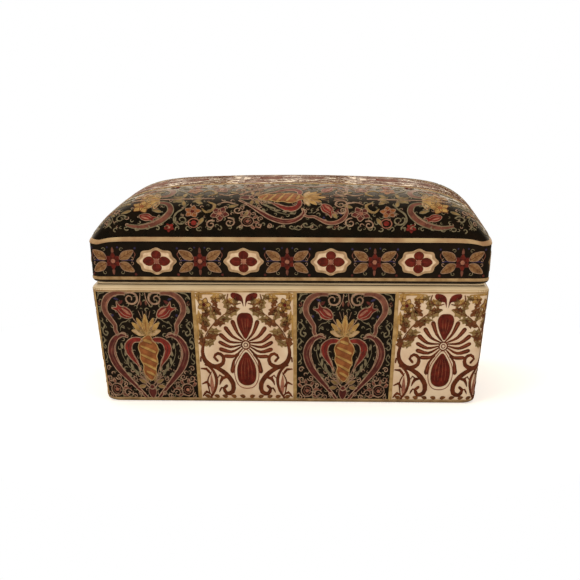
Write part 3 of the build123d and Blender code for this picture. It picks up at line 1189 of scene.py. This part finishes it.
        for k in range(13):
            d.curl(-6.0 + 5.2 * k, 4.0 + 0.5 * (k % 2), 1.5, 10 + 53 * k, 250, (0.8, 0.5), Paint.PALE)
        return d

    def spray(self) -> Drawing:
        """The dome's end, right of the vase: the same scrolls along both edges of the slope."""
        d = Drawing()
        d.add(self.half_spray())
        d.add(self.half_spray(), 0.0, 50.0, size=(1.0, -1.0))
        d.line([(8.0, 25.0), (22.0, 25.0), (36.0, 25.0), (50.0, 25.0)], (0.9, 0.7), Paint.OUTLINE)
        d.add(self.lotus(), 36.0, 25.0, -90, (0.9, 0.9))
        for x in (14.0, 24.0, 52.0):
            for angle in (32, -32):
                d.leaf(x, 25.0, 5.6, 2.2, angle, Paint.OLIVE, Paint.PALE, line=0.35)
        return d

    def end_spray(self) -> Drawing:
        """The short end of the dome: small scrolls on both sides of a medallion among leaves."""
        half = Drawing()
        half.add(self.half_spray(), 28.0, 0.8, size=(0.5, 0.75))
        spots = ((8.6, 8.0, 28), (8.6, 6.0, -28), (14.2, 9.4, 10), (14.2, 4.8, -10), (17.4, 7.0, 0))
        for x, y, angle in spots:
            half.add(self.acanthus(Paint.BROWN), x, y, angle, (0.7, 0.75))
        whole = half.mirrored()
        whole.add(self.medallion(), 0.0, 7.2, size=(0.74, 0.74))
        return whole


class Scatter:
    """Small sprigs strewn over a dark ground with Geometry Nodes."""

    MOST_TO_A_SQUARE_MM = 0.4
    SMALLEST = 0.55

    @staticmethod
    def sprig() -> bpy.types.Object:
        """Make one sprig: a small hook that thins to both ends, flat, in mm."""
        steps, points = 9, []
        start, turn = -40, 250
        outer, drawn_in = 1.3, 0.75
        tip, belly = 0.1, 0.2
        for i in range(steps + 1):
            share = i / steps
            angle, reach = math.radians(turn * share + start), outer - drawn_in * share
            half = tip + belly * math.sin(math.pi * share)
            for radius in (reach + half, reach - half):
                points.append((radius * math.cos(angle), radius * math.sin(angle), 0))
        faces = [(2 * i, 2 * i + 2, 2 * i + 3, 2 * i + 1) for i in range(steps)]
        mesh = bpy.data.meshes.new("sprig")
        mesh.from_pydata(points, [], faces)
        return bpy.data.objects.new("sprig", mesh)

    @staticmethod
    def tree(sprig: bpy.types.Object, material: bpy.types.Material) -> bpy.types.NodeTree:
        """Build the tree that strews sprigs over a flat sheet.

        Args:
            sprig: what is strewn.
            material: its enamel.

        Returns:
            The tree, with inputs for the spacing, the seed and the size.
        """
        tree = bpy.data.node_groups.new("strewn_sprigs", "GeometryNodeTree")
        sockets = (("Geometry", "INPUT", "Geometry"), ("Spacing", "INPUT", "Float"),
                   ("Seed", "INPUT", "Int"), ("Smallest", "INPUT", "Float"),
                   ("Geometry", "OUTPUT", "Geometry"))
        for name, way, kind in sockets:
            tree.interface.new_socket(name, in_out=way, socket_type=f"NodeSocket{kind}")
        given = add_node(tree, "NodeGroupInput")
        strew = {"Mesh": given.outputs["Geometry"], "Distance Min": given.outputs["Spacing"],
                 "Density Max": Scatter.MOST_TO_A_SQUARE_MM, "Seed": given.outputs["Seed"]}
        points = add_node(tree, "GeometryNodeDistributePointsOnFaces", strew,
                          {"distribute_method": "POISSON"})
        turn = add_node(tree, "FunctionNodeRandomValue",
                        {0: (0, 0, 0), 1: (0, 0, 2 * math.pi), "Seed": given.outputs["Seed"]},
                        {"data_type": "FLOAT_VECTOR"})
        size = add_node(tree, "FunctionNodeRandomValue",
                        {2: given.outputs["Smallest"], 3: 1.0, "Seed": given.outputs["Seed"]})
        shape = add_node(tree, "GeometryNodeObjectInfo", {"Object": sprig})
        placed = {"Points": points.outputs["Points"], "Instance": shape.outputs["Geometry"],
                  "Rotation": turn.outputs[0], "Scale": size.outputs[1]}
        copies = add_node(tree, "GeometryNodeInstanceOnPoints", placed)
        real = add_node(tree, "GeometryNodeRealizeInstances", {0: copies.outputs[0]})
        coat = {"Geometry": real.outputs[0], "Material": material}
        painted = add_node(tree, "GeometryNodeSetMaterial", coat)
        add_node(tree, "NodeGroupOutput", {0: painted.outputs[0]})
        return tree

    @classmethod
    def over(cls, low: Point, high: Point, spacing: float, seed: int, paint: Paint) -> bpy.types.Mesh:
        """Strew sprigs over a rectangle.

        Args:
            low: its lower left corner, mm.
            high: its upper right corner, mm.
            spacing: the least distance between two sprigs, mm.
            seed: which strewing.
            paint: the sprigs' enamel.

        Returns:
            A flat mesh in mm, at the sprigs' level.
        """
        sheet = bpy.data.meshes.new("ground")
        (ax, ay), (bx, by), lift = low, high, Level.SPRIG.value
        corners = [(ax, ay, lift), (bx, ay, lift), (bx, by, lift), (ax, by, lift)]
        sheet.from_pydata(corners, [], [(0, 1, 2, 3)])
        holder = bpy.data.objects.new("ground", sheet)
        sprig = cls.sprig()
        for thing in (holder, sprig):
            bpy.context.scene.collection.objects.link(thing)
        tree = cls.tree(sprig, paint.value.material())
        modifier = holder.modifiers.new("strew", "NODES")
        modifier.node_group = tree
        values = {"Spacing": spacing, "Seed": seed, "Smallest": cls.SMALLEST}
        for item in tree.interface.items_tree:
            if item.item_type == "SOCKET" and item.in_out == "INPUT" and item.name in values:
                modifier[item.identifier] = values[item.name]
        ready = holder.evaluated_get(bpy.context.evaluated_depsgraph_get())
        made = bpy.data.meshes.new_from_object(ready)
        holder.modifiers.clear()
        for thing in (holder, sprig):
            bpy.data.objects.remove(thing)
        return made


class Shell:
    """A closed pot wall: rings of points from the middle of one face to the middle of the other."""

    LONG_CUTS = 56
    SHORT_CUTS = 36
    CORNER_CUTS = 5
    CREASE = 42.0

    def __init__(self, girth: Girth, marks: Sequence[float]) -> None:
        """Choose the columns that every ring has.

        Args:
            girth: the outside that the columns are spaced along.
            marks: unrolled places that get a column of their own.
        """
        self.girth = girth
        self.columns: list[tuple[int, float]] = []
        found = [girth.locate(x) for x in marks]
        for side in range(4):
            length = girth.half_depth if side % 2 else girth.half_width
            straight = (length - girth.corner) / girth.reach(side)
            cuts = self.SHORT_CUTS if side % 2 else self.LONG_CUTS
            shares = [straight * (2 * i / cuts - 1) for i in range(cuts + 1)]
            corner = [(k + 1) / self.CORNER_CUTS for k in range(self.CORNER_CUTS)]
            shares += [way * (straight + (1 - straight) * k) for way in (-1, 1) for k in corner]
            shares += [share for s, share in found if s == side]
            shares = sorted(set(round(s, 6) for s in shares if s < 0.999999))
            self.columns += [(side, s) for s in shares]
        self.points: list[Vector] = []
        self.faces: list[Sequence[int]] = []
        self.paints: list[Paint] = []
        self.last: Optional[int] = None

    def add(self, ring: list[Vector], paint: Paint | Callable[[int], Paint]) -> None:
        """Add a ring and the faces that join it to the last one.

        Args:
            ring: its points, in metres.
            paint: the faces' paint, or what gives each column's.
        """
        first, count = len(self.points), len(self.columns)
        self.points.extend(ring)
        if self.last is not None:
            for i in range(count):
                j = (i + 1) % count
                self.faces.append((self.last + i, first + i, first + j, self.last + j))
                self.paints.append(paint if isinstance(paint, Paint) else paint(i))
        self.last = first

    def close(self, middle: Vector, paint: Paint, at_start: bool) -> None:
        """Close the first or the last ring onto a middle point."""
        first, count = (0 if at_start else self.last), len(self.columns)
        self.points.append(middle)
        tip = len(self.points) - 1
        for i in range(count):
            j = (i + 1) % count
            self.faces.append((tip, first + i, first + j) if at_start else (tip, first + j, first + i))
            self.paints.append(paint)

    def flat_ring(self, half_width: float, half_depth: float, corner: float, z: float) -> list[Vector]:
        """Give a level ring of a rounded rectangle, in metres."""
        places = [plan(half_width, half_depth, corner, *column)[:2] for column in self.columns]
        return [Vector((x, y, z)) * MM for x, y in places]



@dataclass
class Tub:
    """The tub: its wall, the ground of its panels and the enamel on them."""

    rim_half_width: float = 100.5
    rim_half_depth: float = 62.5
    rim_corner: float = 6.0
    foot_corner: float = 5.0
    height: float = 61.3
    draft: float = 6.75
    foot_round: float = 3.0
    rim_round: float = 2.5
    wall: float = 5.5
    floor_z: float = 6.5
    hollow_z: float = 1.5
    ring_inset: float = 9.0
    collar_top: float = 67.3
    collar_outer: Point = (93.62, 55.62)
    collar_inner: Point = (90.22, 52.22)
    collar_round: float = 1.0
    collar_fillet: float = 0.5
    floor_round: float = 4.0
    foot_bevel: float = 0.3
    inner_corner: float = 5.0
    slope_z: float = 54.3
    panel_start: float = -100.5
    front_panel: float = 51.6
    panel_top: float = 57.7
    panel_foot: float = 2.0
    bar: float = 2.1
    # The height and the width of the line under the rim and of the one over the foot
    gilt_lines: tuple[Point, Point] = ((58.75, 2.1), (1.6, 1.2))
    motifs: Motifs = field(default_factory=Motifs)

    def __post_init__(self) -> None:
        """Work out the outside and where its panels meet."""
        self.girth = Girth(self.rim_half_width, self.rim_half_depth, self.rim_corner, self.foot_corner,
                           0.0, self.height, self.draft, self.foot_round, self.rim_round)
        half = self.girth.period() / 2
        front = [self.panel_start + self.front_panel * i for i in range(5)]
        side = (self.panel_start + half - front[-1]) / 2
        first = front + [front[-1] + side]
        self.bounds = first + [x + half for x in first]

    def panel_at(self, x: float) -> int:
        """Give the number of the panel that an unrolled place lies in."""
        period = self.girth.period()
        along = (x - self.bounds[0]) % period
        starts = [b - self.bounds[0] for b in self.bounds]
        return max(i for i, s in enumerate(starts) if along >= s - 1e-6)

    def ground(self, shell: Shell, column: int) -> Paint:
        """Give the ground of the panel that a column of faces lies in."""
        side, share = shell.columns[column]
        reach = [self.girth.reach(k) for k in range(4)]
        x = sum(2 * reach[k] for k in range(side)) - reach[0] + (share + 1) * reach[side]
        return Paint.DARK if self.panel_at(x + 0.02) % 2 == 0 else Paint.CREAM

    def build_wall(self) -> bpy.types.Object:
        """Build the wall, floor and collar as one closed mesh."""
        shell = Shell(self.girth, self.bounds)
        ring, corner, bevel = shell.flat_ring, self.foot_corner, self.foot_bevel
        under_x = self.rim_half_width - self.draft - self.ring_inset
        under_y = self.rim_half_depth - self.draft - self.ring_inset
        foot_x, foot_y, _ = self.girth.section(0.0)
        shell.add(ring(under_x * 0.5, under_y * 0.5, corner * 0.5, self.hollow_z), Paint.IVORY)
        shell.add(ring(under_x - bevel, under_y - bevel, corner, self.hollow_z), Paint.IVORY)
        shell.add(ring(under_x, under_y, corner, self.hollow_z - bevel), Paint.IVORY)
        shell.add(ring(under_x, under_y, corner, bevel), Paint.BISQUE)
        shell.add(ring(under_x + bevel, under_y + bevel, corner, 0.0), Paint.BISQUE)
        shell.add(ring(foot_x, foot_y, corner, 0.0), Paint.BISQUE)
        bare_top, gilt_top, curve_top, steps = 0.5, 1.3, 3.0, 16
        heights = [0.12, 0.4, 0.8, gilt_top, 2.0, curve_top]
        heights += [curve_top + (self.panel_top - curve_top) * k / steps for k in range(1, steps + 1)]
        for z in heights:
            level = Level.GROUND.value * min(1.0, z / gilt_top)
            row = [self.girth.at(s, u, z, level) for s, u in shell.columns]
            if z <= gilt_top:
                shell.add(row, Paint.BISQUE if z < bare_top else Paint.RIM_GOLD)
            else:
                shell.add(row, lambda i: self.ground(shell, i))
        rim_z = self.height - self.rim_round
        lean = self.draft * self.rim_round / self.height
        for k in range(11):
            turn = k / 10 * math.pi / 2
            inset = lean + self.rim_round * (1 - math.cos(turn))
            z = rim_z + self.rim_round * math.sin(turn)
            shell.add(ring(self.rim_half_width - inset, self.rim_half_depth - inset, self.rim_corner, z),
                      Paint.IVORY)
        self.build_collar(shell)
        shell.close(Vector((0, 0, self.hollow_z)) * MM, Paint.IVORY, True)
        shell.close(Vector((0, 0, self.floor_z)) * MM, Paint.IVORY, False)
        # The rings climb the outside, so the faces are turned over to point outwards
        faces = [face[::-1] for face in shell.faces]
        piece = make_object("tub_ware", shell.points, faces, shell.paints, shell.CREASE)
        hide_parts("tub")
        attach(piece, "tub")
        log.info("tub_ware: %d faces", len(shell.faces))
        return piece

    def build_collar(self, shell: Shell) -> None:
        """Add the collar's rings, and the inside down to the floor."""
        (ox, oy), (ix, iy), corner = self.collar_outer, self.collar_inner, self.inner_corner
        top, edge, fillet = self.collar_top, self.collar_round, self.collar_fillet
        rows = [(ox + fillet, oy + fillet, corner + fillet, self.height),
                (ox, oy, corner, self.height + fillet)]
        quarter = [k / 4 * math.pi / 2 for k in range(5)]
        for x, y, way, turns in ((ox, oy, -1, quarter), (ix, iy, 1, quarter[::-1])):
            for turn in turns:
                inset = way * edge * (1 - math.cos(turn))
                rows.append((x + inset, y + inset, corner, top - edge + edge * math.sin(turn)))
        rows.append((ix, iy, corner, self.height))
        floor_round = self.floor_round
        for z in (self.slope_z, 45.0, 30.0, 18.0, self.floor_z + floor_round):
            rows.append((*self.inside(z), corner, z))
        for k in range(1, 7):
            turn = k / 6 * math.pi / 2
            z = self.floor_z + floor_round * (1 - math.sin(turn))
            x, y = self.inside(z)
            inset = floor_round * (1 - math.cos(turn))
            rows.append((x - inset, y - inset, corner, z))
        x, y = self.inside(self.floor_z)
        rows.append((x * 0.5, y * 0.5, corner * 0.5, self.floor_z))
        for row in rows:
            shell.add(shell.flat_ring(*row), Paint.IVORY)

    def inside(self, z: float) -> Point:
        """Give half the width and half the depth of the inside at a height."""
        inset = self.draft * (1 - z / self.height) + self.wall
        return self.rim_half_width - inset, self.rim_half_depth - inset

    def build_enamel(self) -> None:
        """Draw the twelve panels, one piece for each side's run of them."""
        period = self.girth.period()
        ends = self.bounds[1:] + [self.bounds[0] + period]
        drawings = (self.motifs.dark_panel(0.86), self.motifs.cream_panel())
        strewn = (Scatter.over((-24.0, 2.8), (24.0, 56.8), 2.9, 7, Paint.PALE),
                  Scatter.over((-24.0, 2.8), (24.0, 17.0), 2.4, 17, Paint.OUTLINE))
        strewn_paints = (Paint.PALE, Paint.OUTLINE)
        runs = {"front": range(0, 4), "right": range(4, 6), "back": range(6, 10), "left": range(10, 12)}
        for name, numbers in runs.items():
            relief = Relief(f"tub_enamel_{name}", self.girth.place, 1.8)
            for i in numbers:
                low, high = self.bounds[i], ends[i]
                middle, size = (low + high) / 2, (high - low) / self.front_panel
                relief.draw(drawings[i % 2], middle, 0.0, size=(size, 1.0))
                if i % 2 == 0:
                    spot = Matrix.Translation((middle, 0, 0)) @ Matrix.Diagonal((size, 1, 1, 1))
                    for mesh, paint in zip(strewn, strewn_paints):
                        moved = mesh.copy()
                        moved.transform(spot)
                        relief.add_mesh(moved, paint)
                frame_lines = Drawing()
                frame_lines.line([(low, self.panel_foot), (low, 20), (low, 40), (low, self.panel_top)],
                                 (self.bar,), Paint.GOLD)
                relief.draw(frame_lines)
            relief.finish("tub")
        lines = Relief("tub_gilt_lines", self.girth.place, 2.0)
        steps = 480
        around = [period * k / steps for k in range(steps + 1)]
        d = Drawing()
        for z, width in self.gilt_lines:
            d.line([(x, z) for x in around], (width,), Paint.RIM_GOLD)
        lines.draw(d)
        lines.finish("tub")


@dataclass
class Lid:
    """The lid: its shell, the side band's row of motifs, and the dome's stripes."""

    half_width: float = 101.5
    half_depth: float = 63.5
    corner: float = 6.0
    foot_z: float = 62.5
    rest_z: float = 61.3
    shoulder_z: float = 84.5
    draft: float = 1.5
    edge_round: float = 2.0
    wall: float = 5.5
    bead_inset: float = 2.2
    inner_corner: float = 5.0
    dome_rise: float = 25.8
    crown_wall: float = 6.0
    crown_start: float = -93.0
    crown_step: float = 62.0
    first_rosette: float = -89.4
    front_step: float = 22.05
    dip_start: float = 80.0
    gilt_share: float = 0.989
    gilt_foot: float = 83.05
    motifs: Motifs = field(default_factory=Motifs)

    def __post_init__(self) -> None:
        """Work out the outside and the inside."""
        self.girth = Girth(self.half_width, self.half_depth, self.corner, self.corner, self.foot_z,
                           self.shoulder_z, self.draft, self.edge_round)
        self.dome = Dome(self.half_width, self.half_depth, self.shoulder_z, self.dome_rise)
        inner = (self.half_width - self.wall, self.half_depth - self.wall)
        self.hollow = Dome(inner[0], inner[1], self.shoulder_z, self.dome_rise - self.crown_wall)

    def under_dome(self, side: int, share: float, z: float) -> float:
        """Bring a height on the band down where the dome's edge dips, at the corners."""
        full = self.shoulder_z - self.dip_start
        x, y, _, _ = plan(self.half_width, self.half_depth, self.corner, side, share)
        edge = min(self.dome.height(x, y), self.shoulder_z)
        if z <= self.dip_start:
            return z
        return self.dip_start + (z - self.dip_start) * (edge - self.dip_start) / full

    def lean(self, z: float) -> float:
        """Give how far the sides have leaned in at a height."""
        return self.draft * (self.shoulder_z - z) / (self.shoulder_z - self.foot_z)

    def build_shell(self) -> bpy.types.Object:
        """Build the lid's dome, band, bead and inside as one closed mesh."""
        shell = Shell(self.girth, [])
        w, d, ground = self.half_width, self.half_depth, Level.GROUND.value
        base = [plan(w, d, self.corner, *column)[:2] for column in shell.columns]
        first, steps = 0.06, 40
        for k in range(steps):
            scale = first + (1 - first) * math.sin(k / steps * math.pi / 2)
            row = [self.dome.over(x * scale, y * scale, ground) for x, y in base]
            shell.add(row, Paint.PALE_GOLD if scale > self.gilt_share else Paint.STRIPED)
        self.build_side(shell)
        within = (w - self.wall, d - self.wall, self.inner_corner)
        inner = [plan(*within, *column)[:2] for column in shell.columns]
        reach, steps = 0.935, 30
        for k in range(steps):
            scale = first + reach * math.cos((k + 1) / steps * math.pi / 2)
            shell.add([self.hollow.over(x * scale, y * scale, 0.0) for x, y in inner], Paint.IVORY)
        shell.close(self.dome.over(0, 0, ground), Paint.STRIPED, True)
        shell.close(self.hollow.over(0, 0, 0.0), Paint.IVORY, False)
        piece = make_object("lid_ware", shell.points, shell.faces, shell.paints, shell.CREASE)
        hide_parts("lid")
        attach(piece, "lid")
        log.info("lid_ware: %d faces", len(shell.faces))
        return piece

    def build_side(self, shell: Shell) -> None:
        """Add the side band's rings, the bead under it and the inside up to the hollow."""
        w, d, ground, ring = self.half_width, self.half_depth, Level.GROUND.value, shell.flat_ring
        # The second height is where the painted shadow along the lid's rounded foot begins
        ground_foot, seam_shadow_top, fade = 64.4, 62.9, 2.0
        # The rings lie closer together at the gilt line and at the rounded foot
        heights = (84.45, 84.1, 83.0, 80, 77, 74, 71, 68, 65.5, 64.5, 63.9, 63.4, 63.0, 62.75, 62.6, 62.51)
        for z in heights:
            level = ground if z > ground_foot else ground * max(0.0, (z - self.foot_z) / fade)
            row = [self.girth.at(s, u, self.under_dome(s, u, z), level) for s, u in shell.columns]
            # Rows low on the rounded foot get painted shadow in place of the dark ground
            paint = Paint.DARK if z > seam_shadow_top else Paint.SEAM
            shell.add(row, Paint.PALE_GOLD if z > self.gilt_foot else paint)
        bead = self.bead_inset + self.lean(self.foot_z)
        corner, bevel = self.corner - self.bead_inset, 0.3
        # The step in to the bead and the bead's lowest edge, where it rests on the rim, are painted shadow;
        # the bead between them stays ivory
        shell.add(ring(w - bead, d - bead, corner, self.foot_z), Paint.SEAM)
        shell.add(ring(w - bead, d - bead, corner, self.rest_z + 0.4), Paint.IVORY)
        shell.add(ring(w - bead - bevel, d - bead - bevel, corner, self.rest_z), Paint.SEAM)
        for z in (self.rest_z, 66, 72, 78, 83.8):
            inset = self.wall + self.lean(z)
            shell.add(ring(w - inset, d - inset, self.inner_corner, z), Paint.IVORY)

    def build_band(self) -> None:
        """Draw the row of rosettes and medallions round the side band, between gilt lines."""
        period = self.girth.period()
        half = period / 2
        places = [self.first_rosette + self.front_step * k for k in range(9)]
        step = (self.first_rosette + half - places[-1]) / 6
        places += [places[-1] + step * k for k in range(1, 6)]
        middle_z = 73.6
        relief = Relief("lid_band_enamel", self.girth.place, 1.8)
        drawings = (self.motifs.rosette(), self.motifs.medallion())
        for turn in (0.0, half):
            for i, x in enumerate(places):
                relief.draw(drawings[i % 2], x + turn, middle_z)
        relief.finish("lid")
        lines = Relief("lid_gilt_lines", self.girth.place, 2.0)
        steps, top_z, foot_z = 480, 84.0, 64.7
        around = [period * k / steps for k in range(steps + 1)]
        d = Drawing()
        top_line = [(x, self.under_dome(*self.girth.locate(x), top_z)) for x in around]
        d.line(top_line, (0.8,), Paint.PALE_GOLD)
        d.line([(x, foot_z) for x in around], (1.9,), Paint.RIM_GOLD)
        lines.draw(d)
        lines.finish("lid")

    def build_dome(self) -> None:
        """Draw the two dark slopes, the crown's stripe and the gilt lines between them."""
        arcs = self.dome.arc_table()
        edge = min(arcs, key=lambda row: abs(row[1] + HALF_STRIPE))[0]
        full = arcs[-1][0]
        strewn = Scatter.over((-93.0, 6.5), (93.0, 36.0), 3.4, 11, Paint.PALE)
        tan = Scatter.over((-93.0, 7.5), (93.0, 30.0), 4.2, 23, Paint.OUTLINE)
        for name, turned in (("front", False), ("back", True)):
            slope = Slope(self.dome, turned)
            relief = Relief(f"lid_enamel_{name}", slope.place, 1.6)
            relief.add_mesh(strewn, Paint.PALE)
            relief.add_mesh(tan, Paint.OUTLINE)
            relief.draw(self.motifs.dark_panel(0.62), -27.6, 27.0, -90, (0.86, 0.98))
            for way in (1, -1):
                relief.draw(self.motifs.spray(), way * 31.0, 2.6, size=(way, 0.94))
            relief.finish("lid")
        corners = [Scatter.over((low, 3.5), (low + 33.0, 18.0), 2.8, seed, Paint.PALE)
                   for low, seed in ((-58.5, 31), (25.5, 37))]
        for name, turned in (("left", False), ("right", True)):
            relief = Relief(f"lid_enamel_{name}", Slope(self.dome, turned, True).place, 1.2)
            for mesh in corners:
                relief.add_mesh(mesh, Paint.PALE)
            relief.draw(self.motifs.end_spray())
            relief.finish("lid")
        crown = Slope(self.dome, False)
        relief = Relief("lid_enamel_crown", crown.place, 2.4)
        d = Drawing()
        for k in range(4):
            x = self.crown_start + self.crown_step * k
            for j in range(-3, 4):
                angle = 90 + 70 * j
                d.add(self.motifs.acanthus(Paint.BROWN), x - 1.5, full / 2 + 6.4 * j, angle, (0.8, 0.8))
        for k in range(3):
            x = self.crown_start + self.crown_step * k
            relief.draw(self.motifs.cream_panel(), x, full / 2, -90, (0.92, 1.06))
        for arc in (edge, full - edge):
            d.line([(x, arc) for x in range(-101, 102, 2)], (1.5,), Paint.GOLD)
        relief.draw(d)
        relief.finish("lid")


class Studio:
    """The floor, the lights and the camera at the photograph's angle."""

    distance: float = 850.0
    elevation: float = 7.0
    azimuth: float = 2.0
    aim_z: float = 84.5
    focal_px: float = 1577.0
    frame_px: int = 580
    aim_px: Point = (293.9, 225.0)
    shadow_reach: Point = (125.0, 230.0)

    def floor(self) -> None:
        """Lay a pale floor, white to the camera away from the box."""
        mesh = bpy.data.meshes.new("floor")
        size = 6.0
        corners = [(-size, -size, 0), (size, -size, 0), (size, size, 0), (-size, size, 0)]
        mesh.from_pydata(corners, [], [(0, 1, 2, 3)])
        material = bpy.data.materials.new("pale_floor")
        material.use_nodes = True
        tree = material.node_tree
        shader = tree.nodes["Principled BSDF"]
        shader.inputs["Roughness"].default_value = 1.0
        shader.inputs["Specular IOR Level"].default_value = 0.0
        ray = add_node(tree, "ShaderNodeLightPath")
        # The glaze mirrors a dimmer floor than the camera sees, so that dark enamel stays dark
        tints = {0: ray.outputs["Is Glossy Ray"], 6: linear("#F4F3F0"), 7: linear("#5A554E")}
        tint = add_node(tree, "ShaderNodeMix", tints, {"data_type": "RGBA"})
        tree.links.new(tint.outputs[2], shader.inputs["Base Color"])
        to_camera = {0: ray.outputs["Is Camera Ray"], 1: 0.5}
        lit = add_node(tree, "ShaderNodeMath", to_camera, {"operation": "MULTIPLY"})
        shader.inputs["Emission Color"].default_value = linear("#FFFFFF")
        tree.links.new(lit.outputs[0], shader.inputs["Emission Strength"])
        where = add_node(tree, "ShaderNodeTexCoord").outputs["Object"]
        away = add_node(tree, "ShaderNodeVectorMath", {0: where}, {"operation": "LENGTH"})
        near, far = self.shadow_reach
        reach = {"Value": away.outputs["Value"], "From Min": near * MM, "From Max": far * MM}
        fade = add_node(tree, "ShaderNodeMapRange", reach)
        seen = {0: fade.outputs["Result"], 1: ray.outputs["Is Camera Ray"]}
        share = add_node(tree, "ShaderNodeMath", seen, {"operation": "MULTIPLY"})
        white = add_node(tree, "ShaderNodeEmission", {"Color": linear("#FFFFFF"), "Strength": 1.0})
        parts = {0: share.outputs[0], 1: shader.outputs[0], 2: white.outputs[0]}
        mix = add_node(tree, "ShaderNodeMixShader", parts)
        tree.links.new(mix.outputs[0], tree.nodes["Material Output"].inputs["Surface"])
        mesh.materials.append(material)
        floor = bpy.data.objects.new("floor", mesh)
        bpy.context.scene.collection.objects.link(floor)

    def world(self) -> None:
        """Fill the room with soft light, and show white behind the box."""
        world = bpy.data.worlds.new("room")
        world.use_nodes = True
        bpy.context.scene.world = world
        tree = world.node_tree
        tree.nodes.clear()
        way = add_node(tree, "ShaderNodeTexCoord").outputs["Generated"]
        parts = add_node(tree, "ShaderNodeSeparateXYZ", {0: way})
        # The room is darker on the viewer's side, so that the dark glaze keeps its depth
        span = {"Value": parts.outputs["Y"], "From Min": 0.1, "From Max": 1.0, "To Min": 0.03,
                "To Max": 1.15}
        back = add_node(tree, "ShaderNodeMapRange", span)
        ray = add_node(tree, "ShaderNodeLightPath")
        shine = {0: ray.outputs["Is Glossy Ray"], 2: 0.6, 3: back.outputs["Result"]}
        level = add_node(tree, "ShaderNodeMix", shine)
        glow = {"Color": linear("#FFEBD2"), "Strength": level.outputs[0]}
        soft = add_node(tree, "ShaderNodeBackground", glow)
        white = add_node(tree, "ShaderNodeBackground", {"Color": linear("#FFFFFF"), "Strength": 1.0})
        views = {0: ray.outputs["Is Camera Ray"], 1: soft.outputs[0], 2: white.outputs[0]}
        mix = add_node(tree, "ShaderNodeMixShader", views)
        add_node(tree, "ShaderNodeOutputWorld", {"Surface": mix.outputs[0]})

    def lamp(self, name: str, place: Vector, aim: Vector, size: float, power: float) -> None:
        """Hang one soft box.

        Args:
            name: its name.
            place: where it hangs, in metres.
            aim: what it points at.
            size: its side.
            power: its power in watts.
        """
        data = bpy.data.lights.new(name, "AREA")
        data.shape = "SQUARE"
        data.size = size
        data.energy = power
        data.color = linear("#FFF6EA")[:3]
        lamp = bpy.data.objects.new(name, data)
        # The glaze mirrors the room and not the lamps, as in the photograph's even light
        lamp.visible_glossy = False
        lamp.location = place
        lamp.rotation_mode = "QUATERNION"
        lamp.rotation_quaternion = (aim - place).to_track_quat("-Z", "Y")
        bpy.context.scene.collection.objects.link(lamp)

    def camera(self) -> None:
        """Set the camera where the photograph was taken from."""
        el, az = math.radians(self.elevation), math.radians(self.azimuth)
        back = Vector((math.sin(az) * math.cos(el), -math.cos(az) * math.cos(el), math.sin(el)))
        data = bpy.data.cameras.new("camera")
        data.sensor_width = 36.0
        data.lens = self.focal_px / self.frame_px * data.sensor_width
        data.shift_x = (self.frame_px / 2 - self.aim_px[0]) / self.frame_px
        data.shift_y = (self.aim_px[1] - self.frame_px / 2) / self.frame_px
        camera = bpy.data.objects.new("camera", data)
        aim = Vector((0, 0, self.aim_z))
        camera.location = (aim + back * self.distance) * MM
        camera.rotation_mode = "QUATERNION"
        camera.rotation_quaternion = (-back).to_track_quat("-Z", "Y")
        bpy.context.scene.collection.objects.link(camera)
        bpy.context.scene.camera = camera

    def build(self) -> None:
        """Set up the whole studio."""
        self.floor()
        self.world()
        middle = Vector((0, 0, 0.06))
        lamps = (("overhead", (-0.15, 0.35, 1.2), 1.4, 7.0),
                 ("front_left", (-0.9, -1.2, 0.9), 0.8, 9.0),
                 ("front_right", (1.0, -1.0, 0.6), 0.8, 4.0))
        for name, place, size, power in lamps:
            self.lamp(name, Vector(place), middle, size, power)
        self.camera()


def main() -> None:
    """Build the box's pieces in order, then the studio."""
    bpy.context.scene.view_settings.view_transform = "Standard"
    tub = Tub()
    tub.build_wall()
    tub.build_enamel()
    lid = Lid()
    lid.build_shell()
    lid.build_band()
    lid.build_dome()
    Studio().build()


if __name__ == "__main__":
    main()
